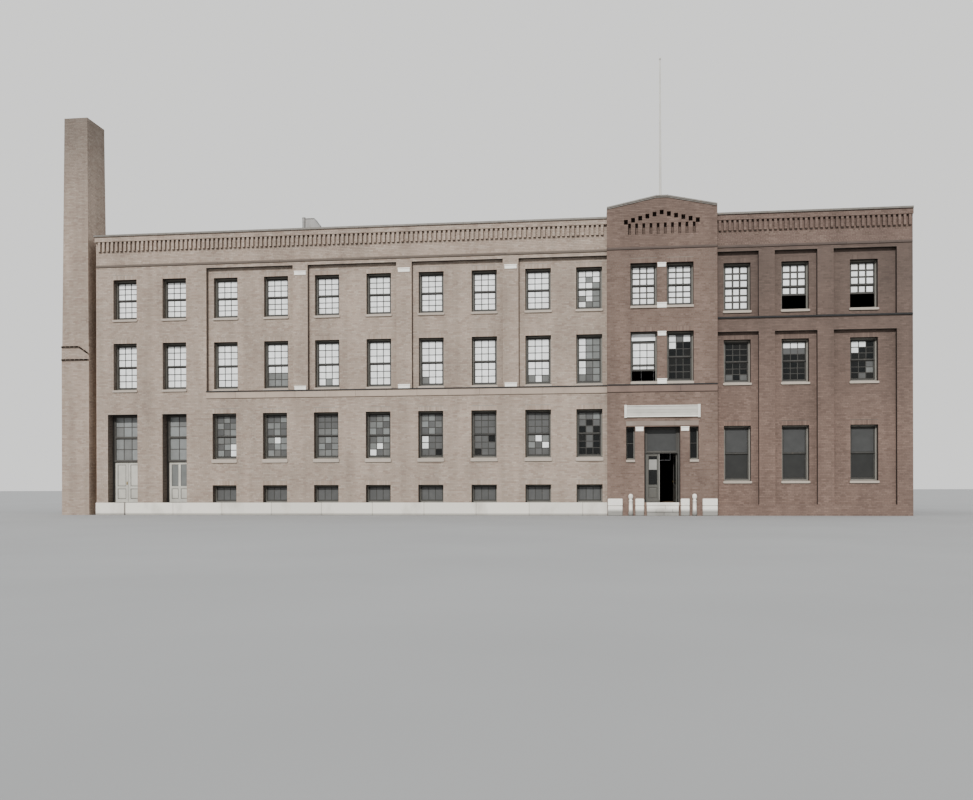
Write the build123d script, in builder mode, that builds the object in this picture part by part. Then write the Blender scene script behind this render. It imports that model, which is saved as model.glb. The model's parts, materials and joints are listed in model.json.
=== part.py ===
from build123d import *
from math import atan2, degrees
import os

os.makedirs("parts", exist_ok=True)

# Sizes are in millimetres. The front looks along -Y, +X runs to the right and +Z up.

# Lengths along the left block
first_bay = 1470
bay_pitch = 2500
even_bays = 9
last_pitch = 2340
last_margin = 810
window_width = 1190
panel_margin = 890

# Lengths along the pavilion and the right wing
twin_spacing = 1614
twin_margin = 1633
wing_panel = 1840
wide_panel = 2680
wing_pier = 690
end_pier = 660

# Depths
inner_depth = 10950
front_wall = 600
side_wall = 450
party_wall = 400
pavilion_projection = 260
panel_depth = 200
window_reveal = 300
sunk_reveal = 240
end_bay_count = 4
parapet_wall = 380

# Heights of the stone base, the doors and the left block's rows
base_height = 600
base_projection = 40
basement_window_height = 825
ground_window_height = 2175
door_opening_height = 4260
belt_rise = 720
belt_height = 355
second_window_height = 2240
third_rise = 1180
third_window_height = 1910
panel_rise = 450
string_rise = 160
string_height = 120
frieze_height = 650
corbel_height = 460
parapet_band = 240
coping_height = 110

# Heights of the right wing's rows
wing_ground_sill = 1570
wing_ground_height = 2470
wing_second_sill = 5990
wing_second_height = 1920
wing_third_sill = 9240
wing_third_height = 2130
wing_panel_foot = 500
wing_belt_foot = 8240
wing_belt_height = 680
wing_drip_height = 90
wing_drip_projection = 60

# Trim
sill_height = 125
sill_projection = 60
ground_sill_height = 190
belt_projection = 50
belt_lip = 40
belt_lip_projection = 80
string_projection = 45
corbel_pitch = 220
corbel_width = 110
corbel_projection = 110
band_projection = 130
coping_overhang = 60
cap_block_height = 200
foot_block_height = 190
block_projection = 35
block_margin = 80
narrow_margin = 30
cap_block_drop = 270
mullion_foot_rise = 115

# Pediment
pediment_end_rise = 380
pediment_peak_rise = 830
pediment_crown = 500
pediment_coping = 110
slot_count = 10
slot_pitch = 318
slot_width = 125
slot_height = 500
slot_drop = 550
slot_depth = 240
gap_width = 170
gap_height = 210
gap_slope = 0.25
gap_peak_rise = 420

# Floors and roof
floor_thickness = 300
slab_thickness = 150
raised_floor_rise = 1150
roof_thickness = 250

# Windows
frame_width = 70
frame_depth = 130
meeting_rail = 60
glass_thickness = 8

# Doors on the left block
double_door_shift = -135
double_door_width = 1520
single_door_width = 1230
leaf_opening_height = 1970
jamb_width = 90
jamb_depth = 110
transom_bar = 110
lower_light_height = 1030
two_light_height = 1540
leaf_thickness = 48
leaf_gap = 8
meeting_gap = 10
stile_width = 110
foot_rail = 165
lock_rail = 780
panel_sink = 12
hinge_offset = 14
knuckle_radius = 12
knuckle_sides = 16
knuckle_length = 60
knuckle_play = 0.3
hinge_inset = 250

# Entrance
entrance_width = 1600
entrance_height = 3410
entrance_leaf_height = 2220
entrance_reveal = 400
entrance_narrow_leaf = 620
entrance_open_angle = 85
entrance_pier = 410
side_light_width = 400
side_light_sill = 1820
plinth_height = 770
plinth_projection = 45
plinth_corner = 680
sign_width = 3360
sign_height = 530
sign_rise = 430
sign_thickness = 60
sign_frame = 60
sign_relief = 25
sign_end = 110
sign_end_rise = 30
lintel_height = 200
lintel_rise = 40
lintel_projection = 30
doorstep_depth = 300
doorstep_margin = 90
post_width = 210
post_height = 990
post_head = 230
post_body = 150
post_chamfer = 60

# Stack
stack_width = 1400
stack_depth = 1840
stack_gap = 400
stack_base_height = 7600
ledge_height = 630
ledge_strip = 70
ledge_projection = 60
ledge_break = 500
ledge_fall = 340
shaft_inset = 20
shaft_top_width = 1180
shaft_height = 10920
cap_height = 250
flue_width = 560
link_depth = 380
link_setback = 950

# Roof pieces
vent_width = 900
vent_depth = 500
vent_height = 2150
vent_shoulder = 300
vent_fall = 400
vent_pipe = 170
vent_pipe_projection = 60
vent_pipe_rise = 40
vent_offset = 10400
vent_setback = 1200
pole_radius = 60
pole_tip_radius = 30
pole_sides = 16
pole_height = 8750
pole_setback = 250

# Places worked out from the sizes above
left_length = first_bay + (even_bays - 1) * bay_pitch + last_pitch + last_margin
pavilion_width = twin_spacing + 2 * twin_margin
right_length = 2 * wing_panel + wide_panel + 2 * wing_pier + end_pier
total_length = stack_width + stack_gap + left_length + pavilion_width + right_length

front_reach = pavilion_projection + doorstep_depth
total_depth = front_reach + front_wall + inner_depth + side_wall + coping_overhang

x_left = -total_length / 2 + stack_width + stack_gap
x_pavilion = x_left + left_length
x_center = x_pavilion + pavilion_width / 2
x_wing = x_pavilion + pavilion_width
x_right = x_wing + right_length
y_face = -total_depth / 2 + front_reach
y_pavilion = y_face - pavilion_projection
y_panel = y_face + panel_depth
y_front_in = y_face + front_wall
y_back_in = y_front_in + inner_depth
y_back = y_back_in + side_wall

z_base = base_height
z_basement_head = z_base + basement_window_height
z_ground_head = z_base + door_opening_height
z_ground_sill = z_ground_head - ground_window_height
z_belt = z_ground_head + belt_rise
z_second_sill = z_belt + belt_height + sill_height
z_second_head = z_second_sill + second_window_height
z_third_sill = z_second_head + third_rise
z_third_head = z_third_sill + third_window_height
z_panel_head = z_third_head + panel_rise
z_string = z_panel_head + string_rise
z_frieze = z_string + string_height
z_corbel = z_frieze + frieze_height
z_band = z_corbel + corbel_height
z_parapet = z_band + parapet_band
z_coping = z_parapet + coping_height
z_entrance_head = z_base + entrance_height
z_raised_floor = z_base + raised_floor_rise
z_roof = z_string + roof_thickness

left_bays = [x_left + first_bay + bay_pitch * i for i in range(even_bays)]
left_bays.append(left_bays[-1] + last_pitch)
twin_bays = [x_center - twin_spacing / 2, x_center + twin_spacing / 2]
wing_panels = []
panel_start = x_wing
for width in (wing_panel, wing_panel, wide_panel):
    wing_panels.append((panel_start, panel_start + width))
    panel_start += width + wing_pier
wing_bays = [(low + high) / 2 for low, high in wing_panels]
wing_rows = [
    (wing_ground_sill, wing_ground_sill + wing_ground_height),
    (wing_second_sill, wing_second_sill + wing_second_height),
    (wing_third_sill, wing_third_sill + wing_third_height),
]
x_double_door = left_bays[0] + double_door_shift
x_single_door = left_bays[1]


def facing(y):
    """Upright plane at depth y that looks out of the front."""
    return Plane.XZ.offset(-y)


def block(x_low, x_high, y_low, y_high, z_low, z_high):
    """Rectangular block between two corners, drawn on the plane of its foot."""
    with BuildPart() as piece:
        with BuildSketch(Plane.XY.offset(z_low)):
            with Locations(((x_low + x_high) / 2, (y_low + y_high) / 2)):
                Rectangle(x_high - x_low, y_high - y_low)
        extrude(amount=z_high - z_low)
    return piece.part


def openings(centers, width, z_low, z_high):
    """Rectangles of one window row, drawn in the sketch that is open."""
    for x in centers:
        with Locations((x, (z_low + z_high) / 2)):
            Rectangle(width, z_high - z_low)


def recess(x_low, x_high, z_low, z_high):
    """One rectangle between two corners, drawn in the sketch that is open."""
    with Locations(((x_low + x_high) / 2, (z_low + z_high) / 2)):
        Rectangle(x_high - x_low, z_high - z_low)


def finish(piece, name):
    """Names a piece and writes it out."""
    piece.label = name
    export_step(piece, "parts/" + name + ".step")


# Stone base

with BuildPart() as stone_base:
    add(block(x_left - base_projection, x_pavilion, y_face - base_projection, y_front_in, 0, z_base))
finish(stone_base.part, "stone_base")

with BuildPart() as end_stone_base:
    add(block(x_left - base_projection, x_left + side_wall, y_front_in, y_back, 0, z_base))
finish(end_stone_base.part, "end_stone_base")

half_entrance = entrance_width / 2
half_pavilion = pavilion_width / 2
pier_out = half_entrance + entrance_pier
side_out = pier_out + side_light_width

with BuildPart() as pavilion_base:
    add(block(x_pavilion, x_wing, y_pavilion, y_front_in, 0, z_base))
finish(pavilion_base.part, "pavilion_base")

# Front walls of the left block

double_low = x_double_door - double_door_width / 2
double_high = x_double_door + double_door_width / 2
single_low = x_single_door - single_door_width / 2
single_high = x_single_door + single_door_width / 2

with BuildPart() as door_side_walls:
    add(block(x_left, double_low, y_face, y_front_in, z_base, z_ground_head))
    add(block(double_high, single_low, y_face, y_front_in, z_base, z_ground_head))
finish(door_side_walls.part, "door_side_walls")

with BuildPart() as left_ground_wall:
    add(block(single_high, x_pavilion, y_face, y_front_in, z_base, z_ground_head))
    with BuildSketch(facing(y_face)):
        openings(left_bays[2:], window_width, z_ground_sill - ground_sill_height, z_ground_head)
        openings(left_bays[2:], window_width, z_base, z_basement_head)
    extrude(amount=-front_wall, mode=Mode.SUBTRACT)
finish(left_ground_wall.part, "left_ground_wall")

panel_spans = []
for i in range(2, len(left_bays), 2):
    far = min(left_bays[i + 1] + panel_margin, x_pavilion)
    panel_spans.append((left_bays[i] - panel_margin, far))
z_panel_foot = z_belt + belt_height

with BuildPart() as left_upper_wall:
    add(block(x_left, x_pavilion, y_face, y_front_in, z_ground_head, z_string))
    with BuildSketch(facing(y_face)):
        for low, high in panel_spans:
            recess(low, high, z_panel_foot, z_panel_head)
    extrude(amount=-panel_depth, mode=Mode.SUBTRACT)
    with BuildSketch(facing(y_face)):
        openings(left_bays, window_width, z_second_sill - sill_height, z_second_head)
        openings(left_bays, window_width, z_third_sill - sill_height, z_third_head)
    extrude(amount=-front_wall, mode=Mode.SUBTRACT)
finish(left_upper_wall.part, "left_upper_wall")

# Front walls of the pavilion

with BuildPart() as pavilion_side_walls:
    add(block(x_pavilion, x_center - half_entrance, y_pavilion, y_front_in, z_base, z_entrance_head))
    add(block(x_center + half_entrance, x_wing, y_pavilion, y_front_in, z_base, z_entrance_head))
    with BuildSketch(facing(y_pavilion)):
        recess(x_center - side_out, x_center - pier_out, z_base + side_light_sill, z_entrance_head)
        recess(x_center + pier_out, x_center + side_out, z_base + side_light_sill, z_entrance_head)
    extrude(amount=-(front_wall + pavilion_projection), mode=Mode.SUBTRACT)
finish(pavilion_side_walls.part, "pavilion_side_walls")

with BuildPart() as pavilion_upper_wall:
    add(block(x_pavilion, x_wing, y_pavilion, y_front_in, z_entrance_head, z_string))
    with BuildSketch(facing(y_pavilion)):
        openings(twin_bays, window_width, z_second_sill - sill_height, z_second_head)
        openings(twin_bays, window_width, z_third_sill - sill_height, z_third_head)
    extrude(amount=-(front_wall + pavilion_projection), mode=Mode.SUBTRACT)
finish(pavilion_upper_wall.part, "pavilion_upper_wall")

# Right wing

wing_belt_head = wing_belt_foot + wing_belt_height

with BuildPart() as right_front_wall:
    add(block(x_wing, x_right, y_face, y_front_in, 0, z_string))
    with BuildSketch(facing(y_face)):
        for low, high in wing_panels:
            recess(low, high, wing_panel_foot, wing_belt_foot)
            recess(low, high, wing_belt_head, z_panel_head)
    extrude(amount=-panel_depth, mode=Mode.SUBTRACT)
    with BuildSketch(facing(y_face)):
        for sill_top, head in wing_rows:
            openings(wing_bays, window_width, sill_top - sill_height, head)
    extrude(amount=-front_wall, mode=Mode.SUBTRACT)
finish(right_front_wall.part, "right_front_wall")

# End, party and back walls

end_bays = [y_front_in + inner_depth * (i + 0.5) / end_bay_count for i in range(1, end_bay_count)]

with BuildPart() as left_end_wall:
    add(block(x_left, x_left + side_wall, y_front_in, y_back, z_base, z_string))
    with BuildSketch(Plane.YZ.offset(x_left)):
        openings(end_bays, window_width, z_ground_sill - sill_height, z_ground_head)
        openings(end_bays, window_width, z_second_sill - sill_height, z_second_head)
        openings(end_bays, window_width, z_third_sill - sill_height, z_third_head)
    extrude(amount=side_wall, mode=Mode.SUBTRACT)
finish(left_end_wall.part, "left_end_wall")

with BuildPart() as right_party_wall:
    add(block(x_right - party_wall, x_right, y_front_in, y_back, 0, z_string))
finish(right_party_wall.part, "right_party_wall")

back_bays = left_bays + twin_bays + wing_bays

with BuildPart() as back_wall:
    add(block(x_left + side_wall, x_right - party_wall, y_back_in, y_back, 0, z_string))
    with BuildSketch(facing(y_back)):
        openings(back_bays, window_width, z_ground_sill - sill_height, z_ground_head)
        openings(back_bays, window_width, z_second_sill - sill_height, z_second_head)
        openings(back_bays, window_width, z_third_sill - sill_height, z_third_head)
    extrude(amount=side_wall, mode=Mode.SUBTRACT)
finish(back_wall.part, "back_wall")

# Parapets with their corbel tables


def corbelled_parapet(x_low, x_high):
    """Front parapet: plain frieze, a row of brick corbels and the band that they carry."""
    count = int((x_high - x_low) / corbel_pitch)
    with BuildPart() as piece:
        add(block(x_low, x_high, y_face, y_face + parapet_wall, z_string, z_parapet))
        with BuildSketch(Plane.XY.offset(z_corbel)):
            with Locations(((x_low + x_high) / 2, y_face - corbel_projection / 2)):
                with GridLocations(corbel_pitch, 0, count, 1):
                    Rectangle(corbel_width, corbel_projection)
        extrude(amount=corbel_height)
        add(block(x_low, x_high, y_face - band_projection, y_face, z_band, z_parapet))
    return piece.part


with BuildPart() as front_parapets:
    add(corbelled_parapet(x_left, x_pavilion))
    add(corbelled_parapet(x_wing, x_right))
finish(front_parapets.part, "front_parapets")

y_parapet_in = y_face + parapet_wall

with BuildPart() as end_parapets:
    add(block(x_left, x_left + parapet_wall, y_parapet_in, y_back - parapet_wall, z_string, z_parapet))
    add(block(x_right - parapet_wall, x_right, y_parapet_in, y_back - parapet_wall, z_string, z_parapet))
finish(end_parapets.part, "end_parapets")

with BuildPart() as back_parapet:
    add(block(x_left, x_right, y_back - parapet_wall, y_back, z_string, z_parapet))
finish(back_parapet.part, "back_parapet")

# Pediment

z_pediment_end = z_coping + pediment_end_rise - pediment_coping
z_pediment_peak = z_coping + pediment_peak_rise - pediment_coping
half_crown = pediment_crown / 2


def pediment_outline(z_foot, lift):
    """Corners of a low gable with a level crown."""
    return [
        (x_center - half_pavilion, z_foot),
        (x_center + half_pavilion, z_foot),
        (x_center + half_pavilion, z_pediment_end + lift),
        (x_center + half_crown, z_pediment_peak + lift),
        (x_center - half_crown, z_pediment_peak + lift),
        (x_center - half_pavilion, z_pediment_end + lift),
    ]


with BuildPart() as pediment:
    with BuildSketch(facing(y_pavilion)):
        Polygon(*pediment_outline(z_string, 0), align=None)
    extrude(amount=-(parapet_wall + pavilion_projection))
    with BuildSketch(facing(y_pavilion)):
        with Locations((x_center, z_band - slot_drop + slot_height / 2)):
            with GridLocations(slot_pitch, 0, slot_count, 1):
                Rectangle(slot_width, slot_height)
        for i in range(slot_count + 1):
            reach = (i - slot_count / 2) * slot_pitch
            z_gap = z_band + gap_peak_rise - abs(reach) * gap_slope
            with Locations((x_center + reach, z_gap)):
                Rectangle(gap_width, gap_height)
    extrude(amount=-slot_depth, mode=Mode.SUBTRACT)
finish(pediment.part, "pediment")

rake = pediment_outline(z_pediment_end, 0)[2:]
rake_top = pediment_outline(z_pediment_end, pediment_coping)[2:]

with BuildPart() as pediment_cap:
    with BuildSketch(facing(y_pavilion - coping_overhang)):
        Polygon(*rake, *reversed(rake_top), align=None)
    extrude(amount=-(parapet_wall + pavilion_projection + 2 * coping_overhang))
finish(pediment_cap.part, "pediment_coping")

# Copings

with BuildPart() as long_copings:
    y_low = y_face - band_projection - coping_overhang
    y_high = y_parapet_in + coping_overhang
    add(block(x_left - coping_overhang, x_pavilion, y_low, y_high, z_parapet, z_coping))
    add(block(x_wing, x_right, y_low, y_high, z_parapet, z_coping))
    y_low = y_back - parapet_wall - coping_overhang
    add(block(x_left - coping_overhang, x_right, y_low, y_back + coping_overhang, z_parapet, z_coping))
finish(long_copings.part, "long_copings")

with BuildPart() as end_copings:
    y_low = y_parapet_in + coping_overhang
    y_high = y_back - parapet_wall - coping_overhang
    x_edge = x_left + parapet_wall + coping_overhang
    add(block(x_left - coping_overhang, x_edge, y_low, y_high, z_parapet, z_coping))
    x_edge = x_right - parapet_wall - coping_overhang
    add(block(x_edge, x_right, y_low, y_high, z_parapet, z_coping))
finish(end_copings.part, "end_copings")

# String course, belt course and the lintel over the entrance

with BuildPart() as stone_courses:
    add(block(x_left, x_pavilion, y_face - string_projection, y_face, z_string, z_frieze))
    add(block(x_pavilion, x_wing, y_pavilion - string_projection, y_pavilion, z_string, z_frieze))
    add(block(x_wing, x_right, y_face - string_projection, y_face, z_string, z_frieze))
    z_lip = z_panel_foot - belt_lip
    for x_low, x_high, y_wall in ((panel_spans[0][0], x_pavilion, y_face), (x_pavilion, x_wing, y_pavilion)):
        add(block(x_low, x_high, y_wall - belt_projection, y_wall, z_belt, z_lip))
        add(block(x_low, x_high, y_wall - belt_lip_projection, y_wall, z_lip, z_panel_foot))
    z_low = wing_belt_head - wing_drip_height
    add(block(x_wing, x_right, y_face - wing_drip_projection, y_face, z_low, wing_belt_head))
    z_low = z_entrance_head + lintel_rise
    y_low = y_pavilion - lintel_projection
    add(block(x_center - side_out, x_center + side_out, y_low, y_pavilion, z_low, z_low + lintel_height))
finish(stone_courses.part, "stone_courses")

# Stone blocks of the plinth, the pilasters and the piers

pilasters = []
for i in range(len(panel_spans) - 1):
    pilasters.append((panel_spans[i][1], panel_spans[i + 1][0]))
z_cap = z_panel_head - cap_block_drop
mullion = (twin_bays[0] + window_width / 2, twin_bays[1] - window_width / 2)

with BuildPart() as stone_blocks:
    for side in (-1, 1):
        for near, far in ((half_entrance, pier_out), (half_pavilion - plinth_corner, half_pavilion)):
            x_low, x_high = sorted((x_center + side * near, x_center + side * far))
            add(block(x_low, x_high, y_pavilion - plinth_projection, y_pavilion, 0, plinth_height))
    for low, high in pilasters:
        x_low, x_high = low + block_margin, high - block_margin
        y_low = y_face - block_projection
        add(block(x_low, x_high, y_low, y_face, z_cap - cap_block_height, z_cap))
        add(block(x_low, x_high, y_low, y_face, z_panel_foot, z_panel_foot + foot_block_height))
    y_low = y_pavilion - block_projection
    x_low, x_high = mullion
    for sill_top, head in ((z_second_sill, z_second_head), (z_third_sill, z_third_head)):
        z_low = head - cap_block_height
        add(block(x_low + narrow_margin, x_high - narrow_margin, y_low, y_pavilion, z_low, head))
        add(block(x_low, x_high, y_low, y_pavilion, sill_top - sill_height, sill_top + mullion_foot_rise))
    for side in (-1, 1):
        x_low, x_high = sorted((x_center + side * half_entrance, x_center + side * pier_out))
        x_low += narrow_margin
        x_high -= narrow_margin
        z_low = z_entrance_head - cap_block_height
        add(block(x_low, x_high, y_low, y_pavilion, z_low, z_entrance_head))
finish(stone_blocks.part, "stone_blocks")

# Sills


def sill(x, width, y_out, y_in, z_top, height):
    """Stone sill that fills the foot of an opening and stands out of the wall."""
    with BuildPart() as piece:
        add(block(x - width / 2, x + width / 2, y_out, y_in, z_top - height, z_top))
    return piece.part


y_frame = y_face + window_reveal
y_sunk_frame = y_panel + sunk_reveal
y_pavilion_frame = y_pavilion + window_reveal
y_frame_in = y_frame + frame_depth
y_sunk_in = y_sunk_frame + frame_depth

y_back_frame = y_back - window_reveal
side_light_centers = [x_center + side * (pier_out + side_out) / 2 for side in (-1, 1)]
z_side_sill = z_base + side_light_sill + sill_height

with BuildPart() as window_sills:
    for x in left_bays[2:]:
        add(sill(x, window_width, y_face - sill_projection, y_frame_in, z_ground_sill, ground_sill_height))
    for z_top in (z_second_sill, z_third_sill):
        for x in left_bays[:2]:
            add(sill(x, window_width, y_face - sill_projection, y_frame_in, z_top, sill_height))
        for x in left_bays[2:]:
            add(sill(x, window_width, y_panel - sill_projection, y_sunk_in, z_top, sill_height))
        for x in twin_bays:
            y_in = y_pavilion_frame + frame_depth
            add(sill(x, window_width, y_pavilion - sill_projection, y_in, z_top, sill_height))
    for z_top, head in wing_rows:
        for x in wing_bays:
            add(sill(x, window_width, y_panel - sill_projection, y_sunk_in, z_top, sill_height))
    for x in side_light_centers:
        y_in = y_pavilion_frame + frame_depth
        add(sill(x, side_light_width, y_pavilion - sill_projection, y_in, z_side_sill, sill_height))
    for z_top in (z_ground_sill, z_second_sill, z_third_sill):
        for x in back_bays:
            y_low = y_back_frame - frame_depth
            add(sill(x, window_width, y_low, y_back + coping_overhang, z_top, sill_height))
        for y in end_bays:
            x_high = x_left + window_reveal + frame_depth
            y_low = y - window_width / 2
            y_high = y + window_width / 2
            add(block(x_left - sill_projection, x_high, y_low, y_high, z_top - sill_height, z_top))
finish(window_sills.part, "window_sills")

# Windows


def window_frames(plane, centers, width, z_low, z_high, depth, rail):
    """Box frames with a meeting rail of some height, one for each opening of a row."""
    with BuildPart() as piece:
        with BuildSketch(plane):
            openings(centers, width, z_low, z_high)
            foot = z_low + frame_width
            head = z_high - frame_width
            middle = (z_low + z_high) / 2
            lights = [(foot, middle - rail / 2), (middle + rail / 2, head)] if rail else [(foot, head)]
            for low, high in lights:
                for x in centers:
                    with Locations((x, (low + high) / 2)):
                        Rectangle(width - 2 * frame_width, high - low, mode=Mode.SUBTRACT)
        extrude(amount=depth)
    return piece.part


def window_glass(plane, centers, width, z_low, z_high, depth):
    """Glass of a window row, inside its frames."""
    with BuildPart() as piece:
        with BuildSketch(plane):
            openings(centers, width - 2 * frame_width, z_low + frame_width, z_high - frame_width)
        extrude(amount=depth)
    return piece.part


front_rows = {
    "basement": [(y_frame, left_bays[2:], window_width, z_base, z_basement_head)],
    "ground": [
        (y_frame, left_bays[2:], window_width, z_ground_sill, z_ground_head),
        (y_sunk_frame, wing_bays, window_width, *wing_rows[0]),
        (y_pavilion_frame, side_light_centers, side_light_width, z_side_sill, z_entrance_head),
    ],
    "second": [
        (y_frame, left_bays[:2], window_width, z_second_sill, z_second_head),
        (y_sunk_frame, left_bays[2:], window_width, z_second_sill, z_second_head),
        (y_pavilion_frame, twin_bays, window_width, z_second_sill, z_second_head),
        (y_sunk_frame, wing_bays, window_width, *wing_rows[1]),
    ],
    "third": [
        (y_frame, left_bays[:2], window_width, z_third_sill, z_third_head),
        (y_sunk_frame, left_bays[2:], window_width, z_third_sill, z_third_head),
        (y_pavilion_frame, twin_bays, window_width, z_third_sill, z_third_head),
        (y_sunk_frame, wing_bays, window_width, *wing_rows[2]),
    ],
}

for storey, rows in front_rows.items():
    rail = 0 if storey == "basement" else meeting_rail
    with BuildPart() as frames:
        for y, centers, width, z_low, z_high in rows:
            add(window_frames(facing(y), centers, width, z_low, z_high, -frame_depth, rail))
    finish(frames.part, storey + "_windows")

rear_rows = [
    (z_ground_sill, z_ground_head),
    (z_second_sill, z_second_head),
    (z_third_sill, z_third_head),
]
end_frame_plane = Plane.YZ.offset(x_left + window_reveal)

with BuildPart() as rear_windows:
    for z_low, z_high in rear_rows:
        add(window_frames(facing(y_back_frame), back_bays, window_width, z_low, z_high, frame_depth, 0))
        add(window_frames(end_frame_plane, end_bays, window_width, z_low, z_high, frame_depth, 0))
finish(rear_windows.part, "rear_windows")

with BuildPart() as window_panes:
    for rows in front_rows.values():
        for y, centers, width, z_low, z_high in rows:
            plane = facing(y + frame_depth)
            add(window_glass(plane, centers, width, z_low, z_high, -glass_thickness))
    for z_low, z_high in rear_rows:
        plane = facing(y_back_frame - frame_depth)
        add(window_glass(plane, back_bays, window_width, z_low, z_high, glass_thickness))
        plane = end_frame_plane.offset(frame_depth)
        add(window_glass(plane, end_bays, window_width, z_low, z_high, glass_thickness))
finish(window_panes.part, "window_glass")

# Door frames

y_entrance_in = y_pavilion + entrance_reveal + jamb_depth
doorways = [
    (x_double_door, double_door_width, y_front_in, leaf_opening_height, door_opening_height),
    (x_single_door, single_door_width, y_front_in, leaf_opening_height, door_opening_height),
    (x_center, entrance_width, y_entrance_in, entrance_leaf_height, entrance_height),
]


def lights_over(leaf_height, height):
    """Foot and head of each light over a door: two over a tall one, else one."""
    foot = z_base + leaf_height + transom_bar
    head = z_base + height - transom_bar
    if head - foot < two_light_height:
        return [(foot, head)]
    return [(foot, foot + lower_light_height), (foot + lower_light_height + transom_bar, head)]


with BuildPart() as door_jambs:
    for x, width, y_low, leaf_height, height in doorways:
        with BuildSketch(Plane.XY.offset(z_base)):
            with Locations((x, y_low - jamb_depth / 2)):
                with GridLocations(width - jamb_width, 0, 2, 1):
                    Rectangle(jamb_width, jamb_depth)
        extrude(amount=height)
finish(door_jambs.part, "door_jambs")

with BuildPart() as door_transoms:
    for x, width, y_low, leaf_height, height in doorways:
        half = width / 2 - jamb_width
        with BuildSketch(facing(y_low)):
            recess(x - half, x + half, z_base + leaf_height, z_base + height)
            for foot, head in lights_over(leaf_height, height):
                with Locations((x, (foot + head) / 2)):
                    Rectangle(2 * half - transom_bar, head - foot, mode=Mode.SUBTRACT)
        extrude(amount=jamb_depth)
finish(door_transoms.part, "door_transoms")

with BuildPart() as transom_glass:
    for x, width, y_low, leaf_height, height in doorways:
        half = width / 2 - jamb_width - transom_bar / 2
        with BuildSketch(facing(y_low - jamb_depth / 2)):
            for foot, head in lights_over(leaf_height, height):
                recess(x - half, x + half, foot, head)
        extrude(amount=glass_thickness)
finish(transom_glass.part, "transom_glass")

# Door leaves, each hung on two lift-off hinges at its inner face


def door_leaf(axis, side, angle, width, height, lights, panels):
    """Framed leaf with its hinge knuckles. Side is 1 for a leaf that runs to the right of its axis.

    Lights are cut through and panels are sunk, each as low, high across and foot, head up.
    """
    x, y = axis
    turned = Plane.XY.rotated((0, 0, angle))
    across = turned.x_dir
    out = -turned.y_dir
    upright = Plane((x, y, z_base), x_dir=across, z_dir=out)
    level = Plane((x, y, z_base), x_dir=across, z_dir=(0, 0, 1))
    start = leaf_gap / 2
    with BuildPart() as piece:
        with BuildSketch(upright.offset(hinge_offset)):
            with Locations((side * (start + width / 2), leaf_gap + height / 2)):
                Rectangle(width, height)
            for low, high, foot, head in lights:
                with Locations((side * (start + (low + high) / 2), leaf_gap + (foot + head) / 2)):
                    Rectangle(high - low, head - foot, mode=Mode.SUBTRACT)
        extrude(amount=leaf_thickness)
        for face, depth in ((hinge_offset + leaf_thickness, -panel_sink), (hinge_offset, panel_sink)):
            with BuildSketch(upright.offset(face)):
                for low, high, foot, head in panels:
                    with Locations((side * (start + (low + high) / 2), leaf_gap + (foot + head) / 2)):
                        Rectangle(high - low, head - foot)
            extrude(amount=depth, mode=Mode.SUBTRACT)
        for z in (hinge_inset, height - hinge_inset):
            with BuildSketch(level.offset(leaf_gap + z - knuckle_length / 2)):
                RegularPolygon(knuckle_radius, knuckle_sides)
                with Locations((side * knuckle_radius, -hinge_offset / 2)):
                    Rectangle(2 * knuckle_radius, hinge_offset)
            extrude(amount=knuckle_length)
    return piece.part


def leaf_glass(axis, side, angle, lights):
    """Glass in the lights of a leaf, in the middle of its thickness."""
    x, y = axis
    turned = Plane.XY.rotated((0, 0, angle))
    upright = Plane((x, y, z_base), x_dir=turned.x_dir, z_dir=-turned.y_dir)
    start = leaf_gap / 2
    with BuildPart() as piece:
        with BuildSketch(upright.offset(hinge_offset + (leaf_thickness - glass_thickness) / 2)):
            for low, high, foot, head in lights:
                with Locations((side * (start + (low + high) / 2), leaf_gap + (foot + head) / 2)):
                    Rectangle(high - low, head - foot)
        extrude(amount=glass_thickness)
    return piece.part


def hinge_axis(x, width, y_in, side):
    """Place of a hinge axis beside the jamb on one side of a door."""
    return (x - side * (width / 2 - jamb_width - leaf_gap / 2), y_in + hinge_offset)


leaf_height = leaf_opening_height - 2 * leaf_gap
entrance_leaf = entrance_leaf_height - 2 * leaf_gap
double_leaf_width = (double_door_width - 2 * jamb_width - 2 * leaf_gap - meeting_gap) / 2
single_leaf_width = single_door_width - 2 * jamb_width - 2 * leaf_gap
entrance_wide_leaf = entrance_width - 2 * jamb_width - 2 * leaf_gap - meeting_gap - entrance_narrow_leaf


def columns(width, count):
    """Low and high side of each field between the stiles of a leaf."""
    field = (width - (count + 1) * stile_width) / count
    return [(stile_width + i * (field + stile_width), (i + 1) * (field + stile_width)) for i in range(count)]


def lower_fields(width, count):
    """Fields between the foot rail and the lock rail."""
    return [(low, high, foot_rail, lock_rail - stile_width) for low, high in columns(width, count)]


def upper_fields(width, count, height):
    """Fields between the lock rail and the head rail."""
    return [(low, high, lock_rail, height - stile_width) for low, high in columns(width, count)]


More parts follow.
